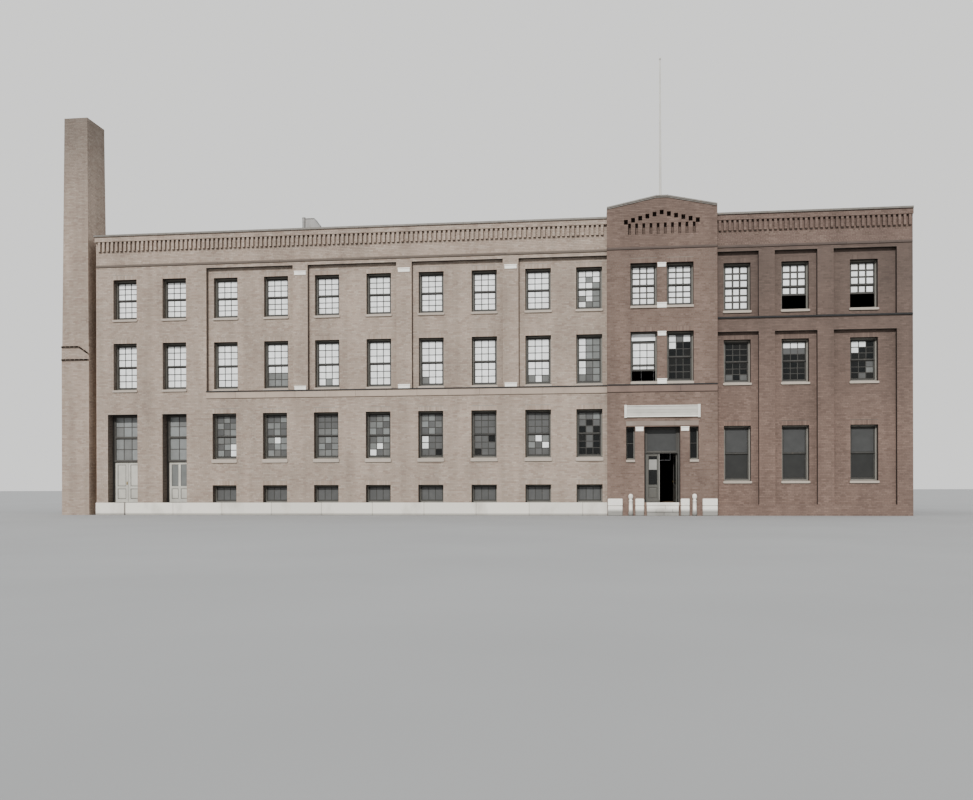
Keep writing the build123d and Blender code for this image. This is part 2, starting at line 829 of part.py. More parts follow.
leaves = [
    ("double_door_left_leaf", x_double_door, double_door_width, y_front_in, 1, 0, double_leaf_width,
     leaf_height, [], lower_fields(double_leaf_width, 1) + upper_fields(double_leaf_width, 1, leaf_height)),
    ("double_door_right_leaf", x_double_door, double_door_width, y_front_in, -1, 0, double_leaf_width,
     leaf_height, [], lower_fields(double_leaf_width, 1) + upper_fields(double_leaf_width, 1, leaf_height)),
    ("single_door_leaf", x_single_door, single_door_width, y_front_in, 1, 0, single_leaf_width,
     leaf_height, upper_fields(single_leaf_width, 2, leaf_height), lower_fields(single_leaf_width, 2)),
    ("entrance_left_leaf", x_center, entrance_width, y_entrance_in, 1, 0, entrance_narrow_leaf,
     entrance_leaf, upper_fields(entrance_narrow_leaf, 1, entrance_leaf),
     lower_fields(entrance_narrow_leaf, 1)),
    ("entrance_right_leaf", x_center, entrance_width, y_entrance_in, -1, -entrance_open_angle,
     entrance_wide_leaf, entrance_leaf, upper_fields(entrance_wide_leaf, 1, entrance_leaf),
     lower_fields(entrance_wide_leaf, 1)),
]

for name, x, width, y_low, side, angle, leaf_width, height, lights, panels in leaves:
    axis = hinge_axis(x, width, y_low, side)
    with BuildPart() as leaf:
        add(door_leaf(axis, side, angle, leaf_width, height, lights, panels))
    finish(leaf.part, name)
    if lights:
        with BuildPart() as pane:
            add(leaf_glass(axis, side, angle, lights))
        finish(pane.part, name.replace("leaf", "glass"))

with BuildPart() as door_hinges:
    for name, x, width, y_low, side, angle, leaf_width, height, lights, panels in leaves:
        axis = hinge_axis(x, width, y_low, side)
        for z in (hinge_inset, height - hinge_inset):
            z_top = z_base + leaf_gap + z - knuckle_length / 2 - knuckle_play
            with BuildSketch(Plane.XY.offset(z_top)):
                with Locations(axis):
                    RegularPolygon(knuckle_radius, knuckle_sides)
                with Locations((axis[0] - side * knuckle_radius, axis[1] - hinge_offset / 2)):
                    Rectangle(2 * knuckle_radius, hinge_offset)
            extrude(amount=-knuckle_length)
finish(door_hinges.part, "door_hinges")

# Signboard, lintel, doorstep and posts

with BuildPart() as signboard:
    z_sign = z_entrance_head + sign_rise + sign_height / 2
    with BuildSketch(facing(y_pavilion)):
        with Locations((x_center, z_sign)):
            Rectangle(sign_width, sign_height)
    extrude(amount=sign_thickness)
    with BuildSketch(facing(y_pavilion - sign_thickness)):
        with Locations((x_center, z_sign)):
            Rectangle(sign_width, sign_height)
            Rectangle(sign_width - 2 * sign_end, sign_height - 2 * sign_frame, mode=Mode.SUBTRACT)
    extrude(amount=sign_relief)
    with BuildSketch(facing(y_pavilion)):
        with Locations((x_center, z_sign)):
            with GridLocations(sign_width - sign_end, 0, 2, 1):
                Rectangle(sign_end, sign_height + 2 * sign_end_rise)
    extrude(amount=sign_thickness + sign_relief)
finish(signboard.part, "signboard")

with BuildPart() as doorstep:
    half = half_entrance - doorstep_margin
    add(block(x_center - half, x_center + half, y_pavilion - doorstep_depth, y_pavilion, 0, z_base))
finish(doorstep.part, "doorstep")

with BuildPart() as guard_posts:
    for x in side_light_centers:
        with BuildSketch():
            with Locations((x, y_pavilion - post_width / 2)):
                Rectangle(post_body, post_width)
        extrude(amount=post_height - post_head)
        with BuildSketch(Plane.XY.offset(post_height - post_head)):
            with Locations((x, y_pavilion - post_width / 2)):
                Rectangle(post_width, post_width)
        extrude(amount=post_head)
    crowns = guard_posts.faces().filter_by(Axis.Z).group_by(Axis.Z)[-1].edges()
    chamfer(crowns, post_chamfer)
finish(guard_posts.part, "guard_posts")

# Floors and roof

x_in_low = x_left + side_wall
x_in_high = x_right - party_wall
x_step = (left_bays[1] + left_bays[2]) / 2

with BuildPart() as basement_floor:
    add(block(x_in_low, x_pavilion, y_front_in, y_back_in, 0, slab_thickness))
finish(basement_floor.part, "basement_floor")

with BuildPart() as ground_floors:
    z_low = z_base - floor_thickness
    add(block(x_in_low, x_step, y_front_in, y_back_in, z_low, z_base))
    add(block(x_pavilion, x_wing, y_front_in, y_back_in, z_low, z_base))
    add(block(x_wing, x_in_high, y_front_in, y_back_in, z_low, z_base))
    add(block(x_step, x_pavilion, y_front_in, y_back_in, z_raised_floor - floor_thickness, z_raised_floor))
finish(ground_floors.part, "ground_floors")

with BuildPart() as upper_floors:
    for z_low in (z_ground_head, z_second_head):
        add(block(x_in_low, x_in_high, y_front_in, y_back_in, z_low, z_low + floor_thickness))
finish(upper_floors.part, "upper_floors")

with BuildPart() as roof_deck:
    x_low = x_left + parapet_wall
    x_high = x_right - parapet_wall
    add(block(x_low, x_high, y_parapet_in, y_back - parapet_wall, z_string, z_roof))
finish(roof_deck.part, "roof_deck")

# Roof pieces

with BuildPart() as roof_vent:
    y_low = y_face + vent_setback
    x_low = x_left + vent_offset - vent_width / 2
    x_high = x_low + vent_width
    z_high = z_roof + vent_height
    with BuildSketch(facing(y_low)):
        Polygon(
            (x_low, z_roof),
            (x_high, z_roof),
            (x_high, z_high - vent_fall),
            (x_high - vent_shoulder, z_high),
            (x_low, z_high),
            align=None,
        )
    extrude(amount=-vent_depth)
    y_high = y_low + vent_pipe
    y_low -= vent_pipe_projection
    add(block(x_low, x_low + vent_pipe, y_low, y_high, z_roof, z_high + vent_pipe_rise))
finish(roof_vent.part, "roof_vent")

with BuildPart() as flagpole:
    with BuildSketch(Plane.XY.offset(z_roof)):
        with Locations((x_center, y_parapet_in + pole_setback)):
            RegularPolygon(pole_radius, pole_sides)
    extrude(amount=pole_height, taper=degrees(atan2(pole_radius - pole_tip_radius, pole_height)))
finish(flagpole.part, "flagpole")

# Stack

x_stack = x_left - stack_gap - stack_width / 2
y_stack = y_face + stack_depth / 2
z_shaft = stack_base_height + ledge_height


def stack_ledge():
    """Corners of the upper strip of the ledge, whose right end slants down."""
    x_low = x_stack - stack_width / 2
    x_high = x_stack + stack_width / 2
    return [
        (x_low, z_shaft),
        (x_low, z_shaft - ledge_strip),
        (x_high - ledge_break, z_shaft - ledge_strip),
        (x_high, z_shaft - ledge_fall - ledge_strip),
        (x_high, z_shaft - ledge_fall),
        (x_high - ledge_break, z_shaft),
    ]


with BuildPart() as stack_base:
    with BuildSketch():
        with Locations((x_stack, y_stack)):
            Rectangle(stack_width, stack_depth)
            Rectangle(flue_width, flue_width, mode=Mode.SUBTRACT)
    extrude(amount=z_shaft)
    with BuildSketch(facing(y_face)):
        Polygon(*stack_ledge(), align=None)
        with Locations((x_stack, stack_base_height - ledge_strip / 2)):
            Rectangle(stack_width, ledge_strip)
    extrude(amount=ledge_projection)
finish(stack_base.part, "stack_base")

shaft_width = stack_width - 2 * shaft_inset
shaft_depth = stack_depth - 2 * shaft_inset
draw_in = (shaft_width - shaft_top_width) / 2

with BuildPart() as stack_shaft:
    with BuildSketch(Plane.XY.offset(z_shaft)):
        with Locations((x_stack, y_stack)):
            Rectangle(shaft_width, shaft_depth)
    extrude(amount=shaft_height, taper=degrees(atan2(draw_in, shaft_height)))
    with BuildSketch(Plane.XY.offset(z_shaft + shaft_height)):
        with Locations((x_stack, y_stack)):
            Rectangle(shaft_top_width, shaft_depth - 2 * draw_in)
    extrude(amount=cap_height)
    with BuildSketch(Plane.XY.offset(z_shaft)):
        with Locations((x_stack, y_stack)):
            Rectangle(flue_width, flue_width)
    extrude(amount=shaft_height + cap_height, mode=Mode.SUBTRACT)
finish(stack_shaft.part, "stack_shaft")

with BuildPart() as flue_link:
    y_low = y_face + link_setback
    add(block(x_left - stack_gap, x_left, y_low, y_low + link_depth, z_base, stack_base_height))
finish(flue_link.part, "flue_link")
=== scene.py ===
"""A long brick factory front with its stack, dressed round the building's solid model."""

import json
import logging
import math
from collections.abc import Iterable, Sequence
from dataclasses import dataclass, field, replace
from enum import Enum, IntEnum
from typing import NamedTuple

import bpy
import numpy as np
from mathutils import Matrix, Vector

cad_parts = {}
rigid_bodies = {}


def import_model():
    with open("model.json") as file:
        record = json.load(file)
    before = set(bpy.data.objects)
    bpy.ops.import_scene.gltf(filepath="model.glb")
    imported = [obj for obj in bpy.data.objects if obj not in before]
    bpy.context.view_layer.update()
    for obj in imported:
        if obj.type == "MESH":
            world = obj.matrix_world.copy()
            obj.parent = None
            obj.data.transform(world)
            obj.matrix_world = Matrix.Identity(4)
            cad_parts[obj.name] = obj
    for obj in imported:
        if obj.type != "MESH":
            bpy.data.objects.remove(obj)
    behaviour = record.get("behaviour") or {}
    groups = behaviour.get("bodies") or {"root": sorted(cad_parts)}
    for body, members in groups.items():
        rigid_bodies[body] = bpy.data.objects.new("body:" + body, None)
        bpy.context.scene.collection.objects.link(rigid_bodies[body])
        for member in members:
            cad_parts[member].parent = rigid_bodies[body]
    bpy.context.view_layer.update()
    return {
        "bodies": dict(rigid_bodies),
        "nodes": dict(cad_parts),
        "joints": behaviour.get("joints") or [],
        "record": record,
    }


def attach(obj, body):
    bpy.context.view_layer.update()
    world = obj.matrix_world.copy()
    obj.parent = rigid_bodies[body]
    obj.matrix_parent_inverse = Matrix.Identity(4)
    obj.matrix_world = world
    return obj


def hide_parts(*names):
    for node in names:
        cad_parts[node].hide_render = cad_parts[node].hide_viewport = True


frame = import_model()

log = logging.getLogger("factory")

Colour = tuple[float, float, float]
Point = tuple[float, float, float]
Pair = tuple[float, float]
Socket = bpy.types.NodeSocket
Value = Socket | float | Colour
Span = tuple[float, float, float, float]

BUILDING = "building"
EVEN: Point = (1.0, 1.0, 1.0)
SOOT: Colour = (0.06, 0.055, 0.05)
# How far the bricks of one face reach past its corner, over the ends of the next face's bricks.
PROUD = 0.006


# Materials


class Nodes:
    """A material's node tree, with short calls for the nodes that the finishes share."""

    def __init__(self, name: str, roughness: float) -> None:
        """Starts a material.

        Args:
            name: The material's name.
            roughness: How matt its surface is, from 0 to 1.
        """
        self.material = bpy.data.materials.new(name)
        self.material.use_nodes = True
        self.tree = self.material.node_tree
        self.surface = self.tree.nodes["Principled BSDF"]
        self.surface.inputs["Roughness"].default_value = roughness

    def feed(self, target: Socket, value: Value) -> None:
        """Links a socket to a target, or sets the target's own value."""
        if isinstance(value, bpy.types.NodeSocket):
            self.tree.links.new(value, target)
        elif isinstance(value, tuple) and target.type == "RGBA":
            target.default_value = (*value, 1.0)
        else:
            target.default_value = value

    def add(self, kind: str, inputs: dict[str | int, Value] | None = None, **settings: object) -> bpy.types.Node:
        """Adds one node.

        Args:
            kind: The node's type.
            inputs: What its inputs take.
            **settings: Its properties.

        Returns:
            The new node.
        """
        node = self.tree.nodes.new(kind)
        for name, setting in settings.items():
            setattr(node, name, setting)
        for key, value in (inputs or {}).items():
            self.feed(node.inputs[key], value)
        return node

    def place(self, stretch: Point = EVEN) -> Socket:
        """The object's own coordinates, stretched by a factor for each axis."""
        source = self.add("ShaderNodeTexCoord").outputs["Object"]
        if stretch == EVEN:
            return source
        return self.add("ShaderNodeMapping", {"Vector": source, "Scale": stretch}).outputs["Vector"]

    def split(self, source: Socket) -> tuple[Socket, Socket, Socket]:
        """The three parts of a vector as sockets of their own."""
        return tuple(self.add("ShaderNodeSeparateXYZ", {0: source}).outputs)

    def normal(self) -> Socket:
        """The way that the surface faces."""
        return self.add("ShaderNodeNewGeometry").outputs["Normal"]

    def island(self) -> Socket:
        """A random number for each loose part of a mesh, such as a brick or a pane."""
        return self.add("ShaderNodeNewGeometry").outputs["Random Per Island"]

    def ramp(self, source: Socket, *stops: tuple[float, Colour | float]) -> Socket:
        """Turns a number into a colour.

        Args:
            source: The number.
            *stops: Places from 0 to 1 with the colour or grey that each has.

        Returns:
            The socket of the colour.
        """
        node = self.add("ShaderNodeValToRGB", {"Fac": source})
        spots = node.color_ramp.elements
        while len(spots) < len(stops):
            spots.new(1.0)
        for spot, (place, colour) in zip(spots, stops):
            spot.position = place
            spot.color = (*(colour if isinstance(colour, tuple) else (colour,) * 3), 1.0)
        return node.outputs["Color"]

    def clouds(self, scale: float, detail: float, *stops: tuple[float, float], stretch: Point = EVEN) -> Socket:
        """Gives soft noise as a grey.

        Args:
            scale: How many clouds to a metre.
            detail: How many finer layers lie over them.
            *stops: Heights of the noise with the grey that each has. Without them the noise stays a number.
            stretch: A factor for each axis.

        Returns:
            The socket of the grey.
        """
        inputs = {"Vector": self.place(stretch), "Scale": scale, "Detail": detail}
        noise = self.add("ShaderNodeTexNoise", inputs).outputs["Fac"]
        return self.ramp(noise, *stops) if stops else noise

    def mix(self, share: Socket | float, first: Socket | Colour, second: Socket | Colour,
            blend: str = "MIX") -> Socket:
        """Mixes two colours.

        Args:
            share: How much of the second colour is used.
            first: The first colour.
            second: The second colour.
            blend: How they are mixed.

        Returns:
            The socket of the mixed colour.
        """
        inputs = {0: share, 6: first, 7: second}
        return self.add("ShaderNodeMix", inputs, data_type="RGBA", blend_type=blend).outputs[2]

    def multiply(self, colour: Socket | Colour, *others: Socket | Colour) -> Socket:
        """Multiplies a colour by others."""
        for other in others:
            colour = self.mix(1.0, colour, other, "MULTIPLY")
        return colour

    def math(self, operation: str, first: Socket | float, second: Socket | float = 0.0) -> Socket:
        """The result of a sum with two numbers."""
        return self.add("ShaderNodeMath", {0: first, 1: second}, operation=operation).outputs[0]

    def fade(self, source: Socket, low: float, high: float) -> Socket:
        """A share that runs from 0 to 1 as a number goes from low to high."""
        inputs = {"Value": source, "From Min": low, "From Max": high}
        return self.add("ShaderNodeMapRange", inputs).outputs["Result"]

    def finish(self, colour: Socket | Colour, height: Socket | None = None,
               distance: float = 0.0) -> bpy.types.Material:
        """Sets the surface's colour and its fine relief.

        Args:
            colour: The colour.
            height: The relief's height, where it has one.
            distance: How high the relief really is, in metres.

        Returns:
            The material.
        """
        self.feed(self.surface.inputs["Base Color"], colour)
        if height is not None:
            bump = self.add("ShaderNodeBump", {"Distance": distance, "Height": height})
            self.feed(self.surface.inputs["Normal"], bump.outputs["Normal"])
        return self.material


@dataclass(frozen=True)
class Finish:
    """A finish and the record's material slot that it belongs to."""

    name: str
    slot: str

    def material(self) -> bpy.types.Material:
        """The finish's material, made on its first use."""
        return bpy.data.materials.get(self.name) or self.make()

    def make(self) -> bpy.types.Material:
        """Makes the material. Each kind of finish has its own way."""
        raise NotImplementedError


@dataclass(frozen=True)
class BrickFinish(Finish):
    """Laid bricks: each has a tone of its own, with weather stains that run over many. Faces that look sideways, up or
    down can take a painted shade or a painted light.
    """

    pale: Colour
    middle: Colour
    deep: Colour
    stain: float = 0.18
    # How much the faces that look sideways, up or down are multiplied by: painted shade below 1, painted light above
    # 1.
    sides: float = 1.0
    soot_from: float = 100.0
    soot_to: float = 101.0
    soot: float = 0.0
    rightward_darkening: float = 0.0

    def make(self) -> bpy.types.Material:
        """Makes the bricks' material."""
        nodes = Nodes(self.name, 0.93)
        brick = nodes.ramp(nodes.island(), (0.0, self.deep), (0.35, self.middle), (0.7, self.middle),
                           (1.0, self.pale))
        colour = nodes.multiply(brick, weather(nodes, self.stain))
        # Painted shade or light by facing: faces whose normal doesn't point to the front or back, such as jambs,
        # reveals, the stack's sides and the bricks' tops and undersides, are multiplied by the sideways factor.
        if self.sides != 1.0:
            forward = nodes.math("ABSOLUTE", nodes.split(nodes.normal())[1])
            painted_side_tone = nodes.multiply(colour, (self.sides, self.sides, self.sides))
            colour = nodes.mix(nodes.math("LESS_THAN", forward, 0.5), colour, painted_side_tone)
        if self.soot:
            across, _, height = nodes.split(nodes.place())
            share = nodes.math("MULTIPLY", nodes.fade(height, self.soot_from, self.soot_to), self.soot)
            # The bricks also grow darker towards the wing's right end, by this share.
            far = nodes.math("MULTIPLY", nodes.fade(across, PLAN.x_wing, PLAN.x_right), self.rightward_darkening)
            share = nodes.math("MAXIMUM", share, nodes.math("ADD", nodes.math("MULTIPLY", share, 0.8), far))
            colour = nodes.mix(share, colour, SOOT)
        return nodes.finish(colour, nodes.clouds(60.0, 3.0), 0.0015)


def weather(nodes: Nodes, amount: float) -> Socket:
    """Gives the stains that weather leaves on a wall.

    Args:
        nodes: The node tree that they are added to.
        amount: How strong they are.

    Returns:
        The socket of a grey to multiply a wall's colour by.
    """
    patches = nodes.clouds(0.35, 5.0, (0.3, 1.0 - amount), (0.7, 1.0))
    streaks = nodes.clouds(1.0, 4.0, (0.35, 1.0 - 0.7 * amount), (0.6, 1.0), stretch=(1.9, 1.9, 0.12))
    return nodes.multiply(patches, streaks, nodes.clouds(28.0, 2.0, (0.25, 0.86), (0.75, 1.0)))


@dataclass(frozen=True)
class BondFinish(Finish):
    """Brickwork drawn by its joints, for faces too small or hidden to lay brick by brick."""

    brick: Colour
    other: Colour
    mortar: Colour

    def make(self) -> bpy.types.Material:
        """Makes the brickwork's material."""
        nodes = Nodes(self.name, 0.93)
        across, deep, height = nodes.split(nodes.place())
        flat = nodes.add("ShaderNodeCombineXYZ", {0: nodes.math("ADD", across, deep), 1: height}).outputs[0]
        bond = nodes.add("ShaderNodeTexBrick", {
            "Vector": flat, "Color1": self.brick, "Color2": self.other, "Mortar": self.mortar, "Scale": 1.0,
            "Mortar Size": 0.005, "Mortar Smooth": 0.2, "Brick Width": 0.22, "Row Height": 0.075})
        return nodes.finish(nodes.multiply(bond.outputs["Color"], weather(nodes, 0.18)),
                            nodes.math("SUBTRACT", 1.0, bond.outputs["Fac"]), 0.006)


@dataclass(frozen=True)
class BeddingFinish(Finish):
    """A wall under its bricks: mortar outside and limewash inside, with painted shade on what looks down: a dark brick
    tone on every soffit.
    """

    mortar: Colour = (0.42, 0.38, 0.33)
    # Painted shade: a fifth of this brick tone colours every face that looks down.
    brick: Colour = (0.4, 0.3, 0.25)
    inward: Point = (0.0, 1.0, 0.0)
    limewash: Colour = (0.62, 0.6, 0.55)

    def make(self) -> bpy.types.Material:
        """Makes the wall's material."""
        nodes = Nodes(self.name, 0.95)
        normal = nodes.normal()
        facing = nodes.add("ShaderNodeVectorMath", {0: normal, 1: self.inward}, operation="DOT_PRODUCT")
        inside = nodes.math("GREATER_THAN", facing.outputs["Value"], 0.7)
        under = nodes.math("LESS_THAN", nodes.split(normal)[2], -0.7)
        mortar = nodes.multiply(self.mortar, nodes.clouds(90.0, 2.0, (0.3, 0.82), (0.7, 1.0)), weather(nodes, 0.2))
        # Painted shade on soffits: a fifth of the brick tone, as dark as the shade under lintels and ledges.
        painted_soffit_shade = tuple(0.2 * part for part in self.brick)
        outside = nodes.mix(under, mortar, nodes.multiply(painted_soffit_shade, weather(nodes, 0.2)))
        wash = nodes.multiply(self.limewash, weather(nodes, 0.3))
        return nodes.finish(nodes.mix(inside, outside, wash), nodes.clouds(90.0, 2.0), 0.002)


@dataclass(frozen=True)
class StoneFinish(Finish):
    """Dressed pale stone with tooling, a tone for each block, dirt in the hollows, and darker towards the ground."""

    base: Colour = (0.76, 0.725, 0.65)
    dirt: Colour = (0.34, 0.31, 0.27)
    spread: float = 0.12
    dark_foot: float = 0.12
    foot_tone: float = 0.55

    def make(self) -> bpy.types.Material:
        """Makes the stone's material."""
        nodes = Nodes(self.name, 0.85)
        tone = nodes.ramp(nodes.island(), (0.0, 1.0 - self.spread), (1.0, 1.0))
        block = nodes.multiply(self.base, tone, nodes.clouds(45.0, 4.0, (0.3, 0.86), (0.7, 1.0)))
        share = nodes.clouds(1.3, 6.0, (0.5, 0.0), (0.78, 0.55), stretch=(1.0, 1.0, 0.5))
        height = nodes.split(nodes.place())[2]
        # Darker towards the ground: the lowest part, up to this height, is multiplied by the foot tone, fading out
        # above it.
        foot_darkening = nodes.ramp(nodes.fade(height, 0.0, self.dark_foot), (0.55, self.foot_tone), (1.0, 1.0))
        colour = nodes.multiply(nodes.mix(share, block, self.dirt), foot_darkening)
        return nodes.finish(colour, nodes.clouds(70.0, 4.0), 0.003)


@dataclass(frozen=True)
class PaintFinish(Finish):
    """Paint on wood: grain under it, dust on it, and bare spots where it has worn."""

    paint: Colour
    bare: Colour = (0.28, 0.22, 0.17)
    worn: float = 0.25

    def make(self) -> bpy.types.Material:
        """Makes the paint's material."""
        nodes = Nodes(self.name, 0.6)
        tone = nodes.ramp(nodes.island(), (0.0, 0.88), (1.0, 1.04))
        coat = nodes.multiply(self.paint, tone, nodes.clouds(2.2, 5.0, (0.3, 0.84), (0.7, 1.0)))
        flaked = nodes.clouds(26.0, 5.0, (0.62, 0.0), (0.68, self.worn), stretch=(1.0, 1.0, 0.35))
        grain = nodes.clouds(38.0, 3.0, stretch=(3.0, 3.0, 0.25))
        return nodes.finish(nodes.mix(flaked, coat, self.bare), grain, 0.001)


@dataclass(frozen=True)
class PaneFinish(Finish):
    """Old window glass, each pane a little lighter or darker than the next."""

    glass: Colour
    dusty: Colour
    roughness: float
    clear: float = 0.0
    ior: float = 1.5

    def make(self) -> bpy.types.Material:
        """Makes the glass's material."""
        nodes = Nodes(self.name, self.roughness)
        nodes.surface.inputs["Alpha"].default_value = 1.0 - self.clear
        nodes.surface.inputs["IOR"].default_value = self.ior
        tone = nodes.mix(nodes.island(), self.glass, self.dusty)
        return nodes.finish(nodes.multiply(tone, nodes.clouds(3.5, 5.0, (0.3, 0.85), (0.7, 1.0))))


@dataclass(frozen=True)
class MetalFinish(Finish):
    """Sheet metal or iron with a dull coat, streaked by rain and rusty where it is thin."""

    coat: Colour
    rust: Colour = (0.16, 0.09, 0.05)
    rusty: float = 0.3
    roughness: float = 0.55
    metallic: float = 0.3

    def make(self) -> bpy.types.Material:
        """Makes the metal's material."""
        nodes = Nodes(self.name, self.roughness)
        nodes.surface.inputs["Metallic"].default_value = self.metallic
        coat = nodes.multiply(self.coat, nodes.clouds(5.0, 5.0, (0.3, 0.8), (0.7, 1.0), stretch=(1.0, 1.0, 0.2)))
        spots = nodes.clouds(9.0, 6.0, (0.58, 0.0), (0.7, self.rusty))
        return nodes.finish(nodes.mix(spots, coat, self.rust), nodes.clouds(14.0, 4.0), 0.001)


@dataclass(frozen=True)
class GravelFinish(Finish):
    """Tar with fine gravel, or worn concrete."""

    base: Colour
    stones: Colour
    size: float

    def make(self) -> bpy.types.Material:
        """Makes the gravel's material."""
        nodes = Nodes(self.name, 0.95)
        cells = nodes.add("ShaderNodeTexVoronoi", {"Vector": nodes.place(), "Scale": self.size})
        stones = nodes.ramp(cells.outputs["Color"], (0.35, self.base), (0.8, self.stones))
        return nodes.finish(nodes.multiply(stones, weather(nodes, 0.35)), cells.outputs["Distance"], 0.008)


@dataclass(frozen=True)
class BoardFinish(Finish):
    """Floor boards, each with its own tone and with dark joints between them."""

    wood: Colour
    joint: Colour

    def make(self) -> bpy.types.Material:
        """Makes the boards' material."""
        nodes = Nodes(self.name, 0.7)
        darker = tuple(0.75 * part for part in self.wood)
        boards = nodes.add("ShaderNodeTexBrick", {
            "Vector": nodes.place(), "Color1": self.wood, "Color2": darker, "Mortar": self.joint, "Scale": 1.0,
            "Mortar Size": 0.003, "Brick Width": 3.6, "Row Height": 0.14})
        grain = nodes.clouds(7.0, 6.0, (0.3, 0.75), (0.7, 1.0), stretch=(0.3, 6.0, 1.0))
        return nodes.finish(nodes.multiply(boards.outputs["Color"], grain),
                            nodes.math("SUBTRACT", 1.0, boards.outputs["Fac"]), 0.003)


# The sideways factors paint shade on the bricks' sideways, upward and downward faces: 0.5 on the left block and the
# pavilion, 0.3 on the wing. The stack's 1.8 paints light on its sides.
LEFT_TONES = ((0.5, 0.42, 0.35), (0.45, 0.365, 0.3), (0.385, 0.3, 0.245))
LEFT_BRICK = BrickFinish("left block brick", "left_brick", *LEFT_TONES, 0.18, 0.5)
END_BRICK = BrickFinish("end wall brick", "left_brick", *LEFT_TONES)
PAVILION_BRICK = BrickFinish("pavilion brick", "pavilion_brick", (0.3, 0.218, 0.18), (0.252, 0.18, 0.146),
                             (0.208, 0.145, 0.117), 0.18, 0.5, 5.0, 14.0, 0.2)
# Near-black brick for the pediment's holes: painted shade for their deep recesses.
HOLE_SHADE_BRICK = BrickFinish("hole brick in painted shade", "pavilion_brick", (0.16, 0.12, 0.1), (0.13, 0.1, 0.085),
                         (0.09, 0.066, 0.055))
PALE_SLOT_BRICK = BrickFinish("pale slot brick", "pavilion_brick", (0.28, 0.21, 0.175), (0.24, 0.178, 0.147),
                              (0.2, 0.145, 0.12))
WING_BRICK = BrickFinish("wing brick", "wing_brick", (0.32, 0.225, 0.183), (0.273, 0.19, 0.154),
                         (0.225, 0.154, 0.124), 0.18, 0.3, 3.5, 10.5, 0.49, 0.16)
WING_PARAPET_BRICK = BrickFinish("wing parapet brick", "wing_brick", (0.245, 0.178, 0.147), (0.208, 0.147, 0.122),
                                 (0.172, 0.122, 0.098))
PARTY_BRICK = BrickFinish("party wall brick", "wing_brick", (0.235, 0.165, 0.135), (0.2, 0.138, 0.112),
                          (0.165, 0.112, 0.09))
STACK_BRICK = BrickFinish("stack brick", "left_brick", *LEFT_TONES, 0.22, 1.8, 13.0, 19.4, 0.55)
# Near-black brick for the stack's ledge strips: painted shade for the shadow lines along the ledge.
LEDGE_SHADE_BRICK = BrickFinish("ledge brick in painted shade", "left_brick", (0.13, 0.11, 0.09), (0.1, 0.085, 0.07), (0.08, 0.07, 0.06))
LEFT_BED = BeddingFinish("left block wall", "left_brick")
END_BED = BeddingFinish("end wall", "left_brick", inward=(1.0, 0.0, 0.0))
BACK_BED = BeddingFinish("back wall", "left_brick", inward=(0.0, -1.0, 0.0))
PAVILION_BED = BeddingFinish("pavilion wall", "pavilion_brick", (0.3, 0.26, 0.22), (0.27, 0.19, 0.155))
WING_BED = BeddingFinish("wing wall", "wing_brick", (0.2, 0.165, 0.14), (0.18, 0.125, 0.1))
PARTY_BED = BeddingFinish("party wall", "wing_brick", (0.2, 0.165, 0.14), (0.18, 0.125, 0.1), (-1.0, 0.0, 0.0))
LEFT_BOND = BondFinish("left block bond", "left_brick", (0.42, 0.34, 0.28), (0.36, 0.285, 0.235), (0.36, 0.31, 0.27))
PAVILION_BOND = BondFinish("pavilion bond", "pavilion_brick", (0.29, 0.21, 0.17), (0.25, 0.175, 0.14),
                           (0.24, 0.19, 0.16))
LIGHT_STONE = StoneFinish("light stone", "light_stone")
WHITE_STONE = StoneFinish("white stone", "light_stone", (0.93, 0.9, 0.83), (0.5, 0.46, 0.4), 0.06)
PLINTH_STONE = StoneFinish("plinth stone", "light_stone", (0.86, 0.83, 0.76), (0.45, 0.41, 0.36), 0.06, 0.33, 0.36)
BED_STONE = StoneFinish("stone bedding", "light_stone", (0.22, 0.2, 0.18))
LEFT_CAST = StoneFinish("left block cast course", "light_stone", (0.45, 0.37, 0.305), (0.24, 0.19, 0.155))
PAVILION_CAST = StoneFinish("pavilion cast course", "light_stone", (0.235, 0.17, 0.14), (0.12, 0.09, 0.08))
# The wing's string course is much darker than its wall: painted shade for its shadow line.
WING_STRING_SHADE = StoneFinish("wing string in painted shade", "light_stone", (0.13, 0.1, 0.085), (0.07, 0.055, 0.05))
LINTEL_STONE = StoneFinish("lintel stone", "light_stone", (0.28, 0.225, 0.19))
SILL_STONE = StoneFinish("sill stone", "light_stone", (0.46, 0.4, 0.34))
# Near-black strips on the belts' lips and the wing's drip: painted shade for the shadow lines there.
PAINTED_SHADE_STRIP = MetalFinish("dark strip in painted shade", "coping_metal", (0.035, 0.034, 0.033), rusty=0.0, roughness=0.8, metallic=0.0)
# The string courses are much darker than their walls: painted shade for the shadow lines under them.
LEFT_STRING_SHADE = StoneFinish("left block string in painted shade", "light_stone", (0.17, 0.14, 0.115), (0.1, 0.08, 0.07))
PAVILION_STRING_SHADE = StoneFinish("pavilion string in painted shade", "light_stone", (0.13, 0.1, 0.085), (0.07, 0.055, 0.05))
SASH_PAINT = PaintFinish("sash paint", "window_paint", (0.065, 0.062, 0.055))
FRAME_PAINT = PaintFinish("window frame paint", "window_paint", (0.2, 0.19, 0.165))
PALE_FRAME_PAINT = PaintFinish("pale window frame paint", "window_paint", (0.26, 0.245, 0.215))
DOOR_FRAME_PAINT = PaintFinish("door frame paint", "door_frame_paint", (0.09, 0.085, 0.075))
PALE_DOOR_PAINT = PaintFinish("pale door paint", "pale_door_paint", (0.56, 0.54, 0.48))
ENTRANCE_PAINT = PaintFinish("entrance door paint", "entrance_paint", (0.13, 0.125, 0.11))
CARD_AND_HIGHLIGHT_PAINT = PaintFinish("bare notice card and painted highlight strip", "entrance_paint", (0.34, 0.33, 0.3))
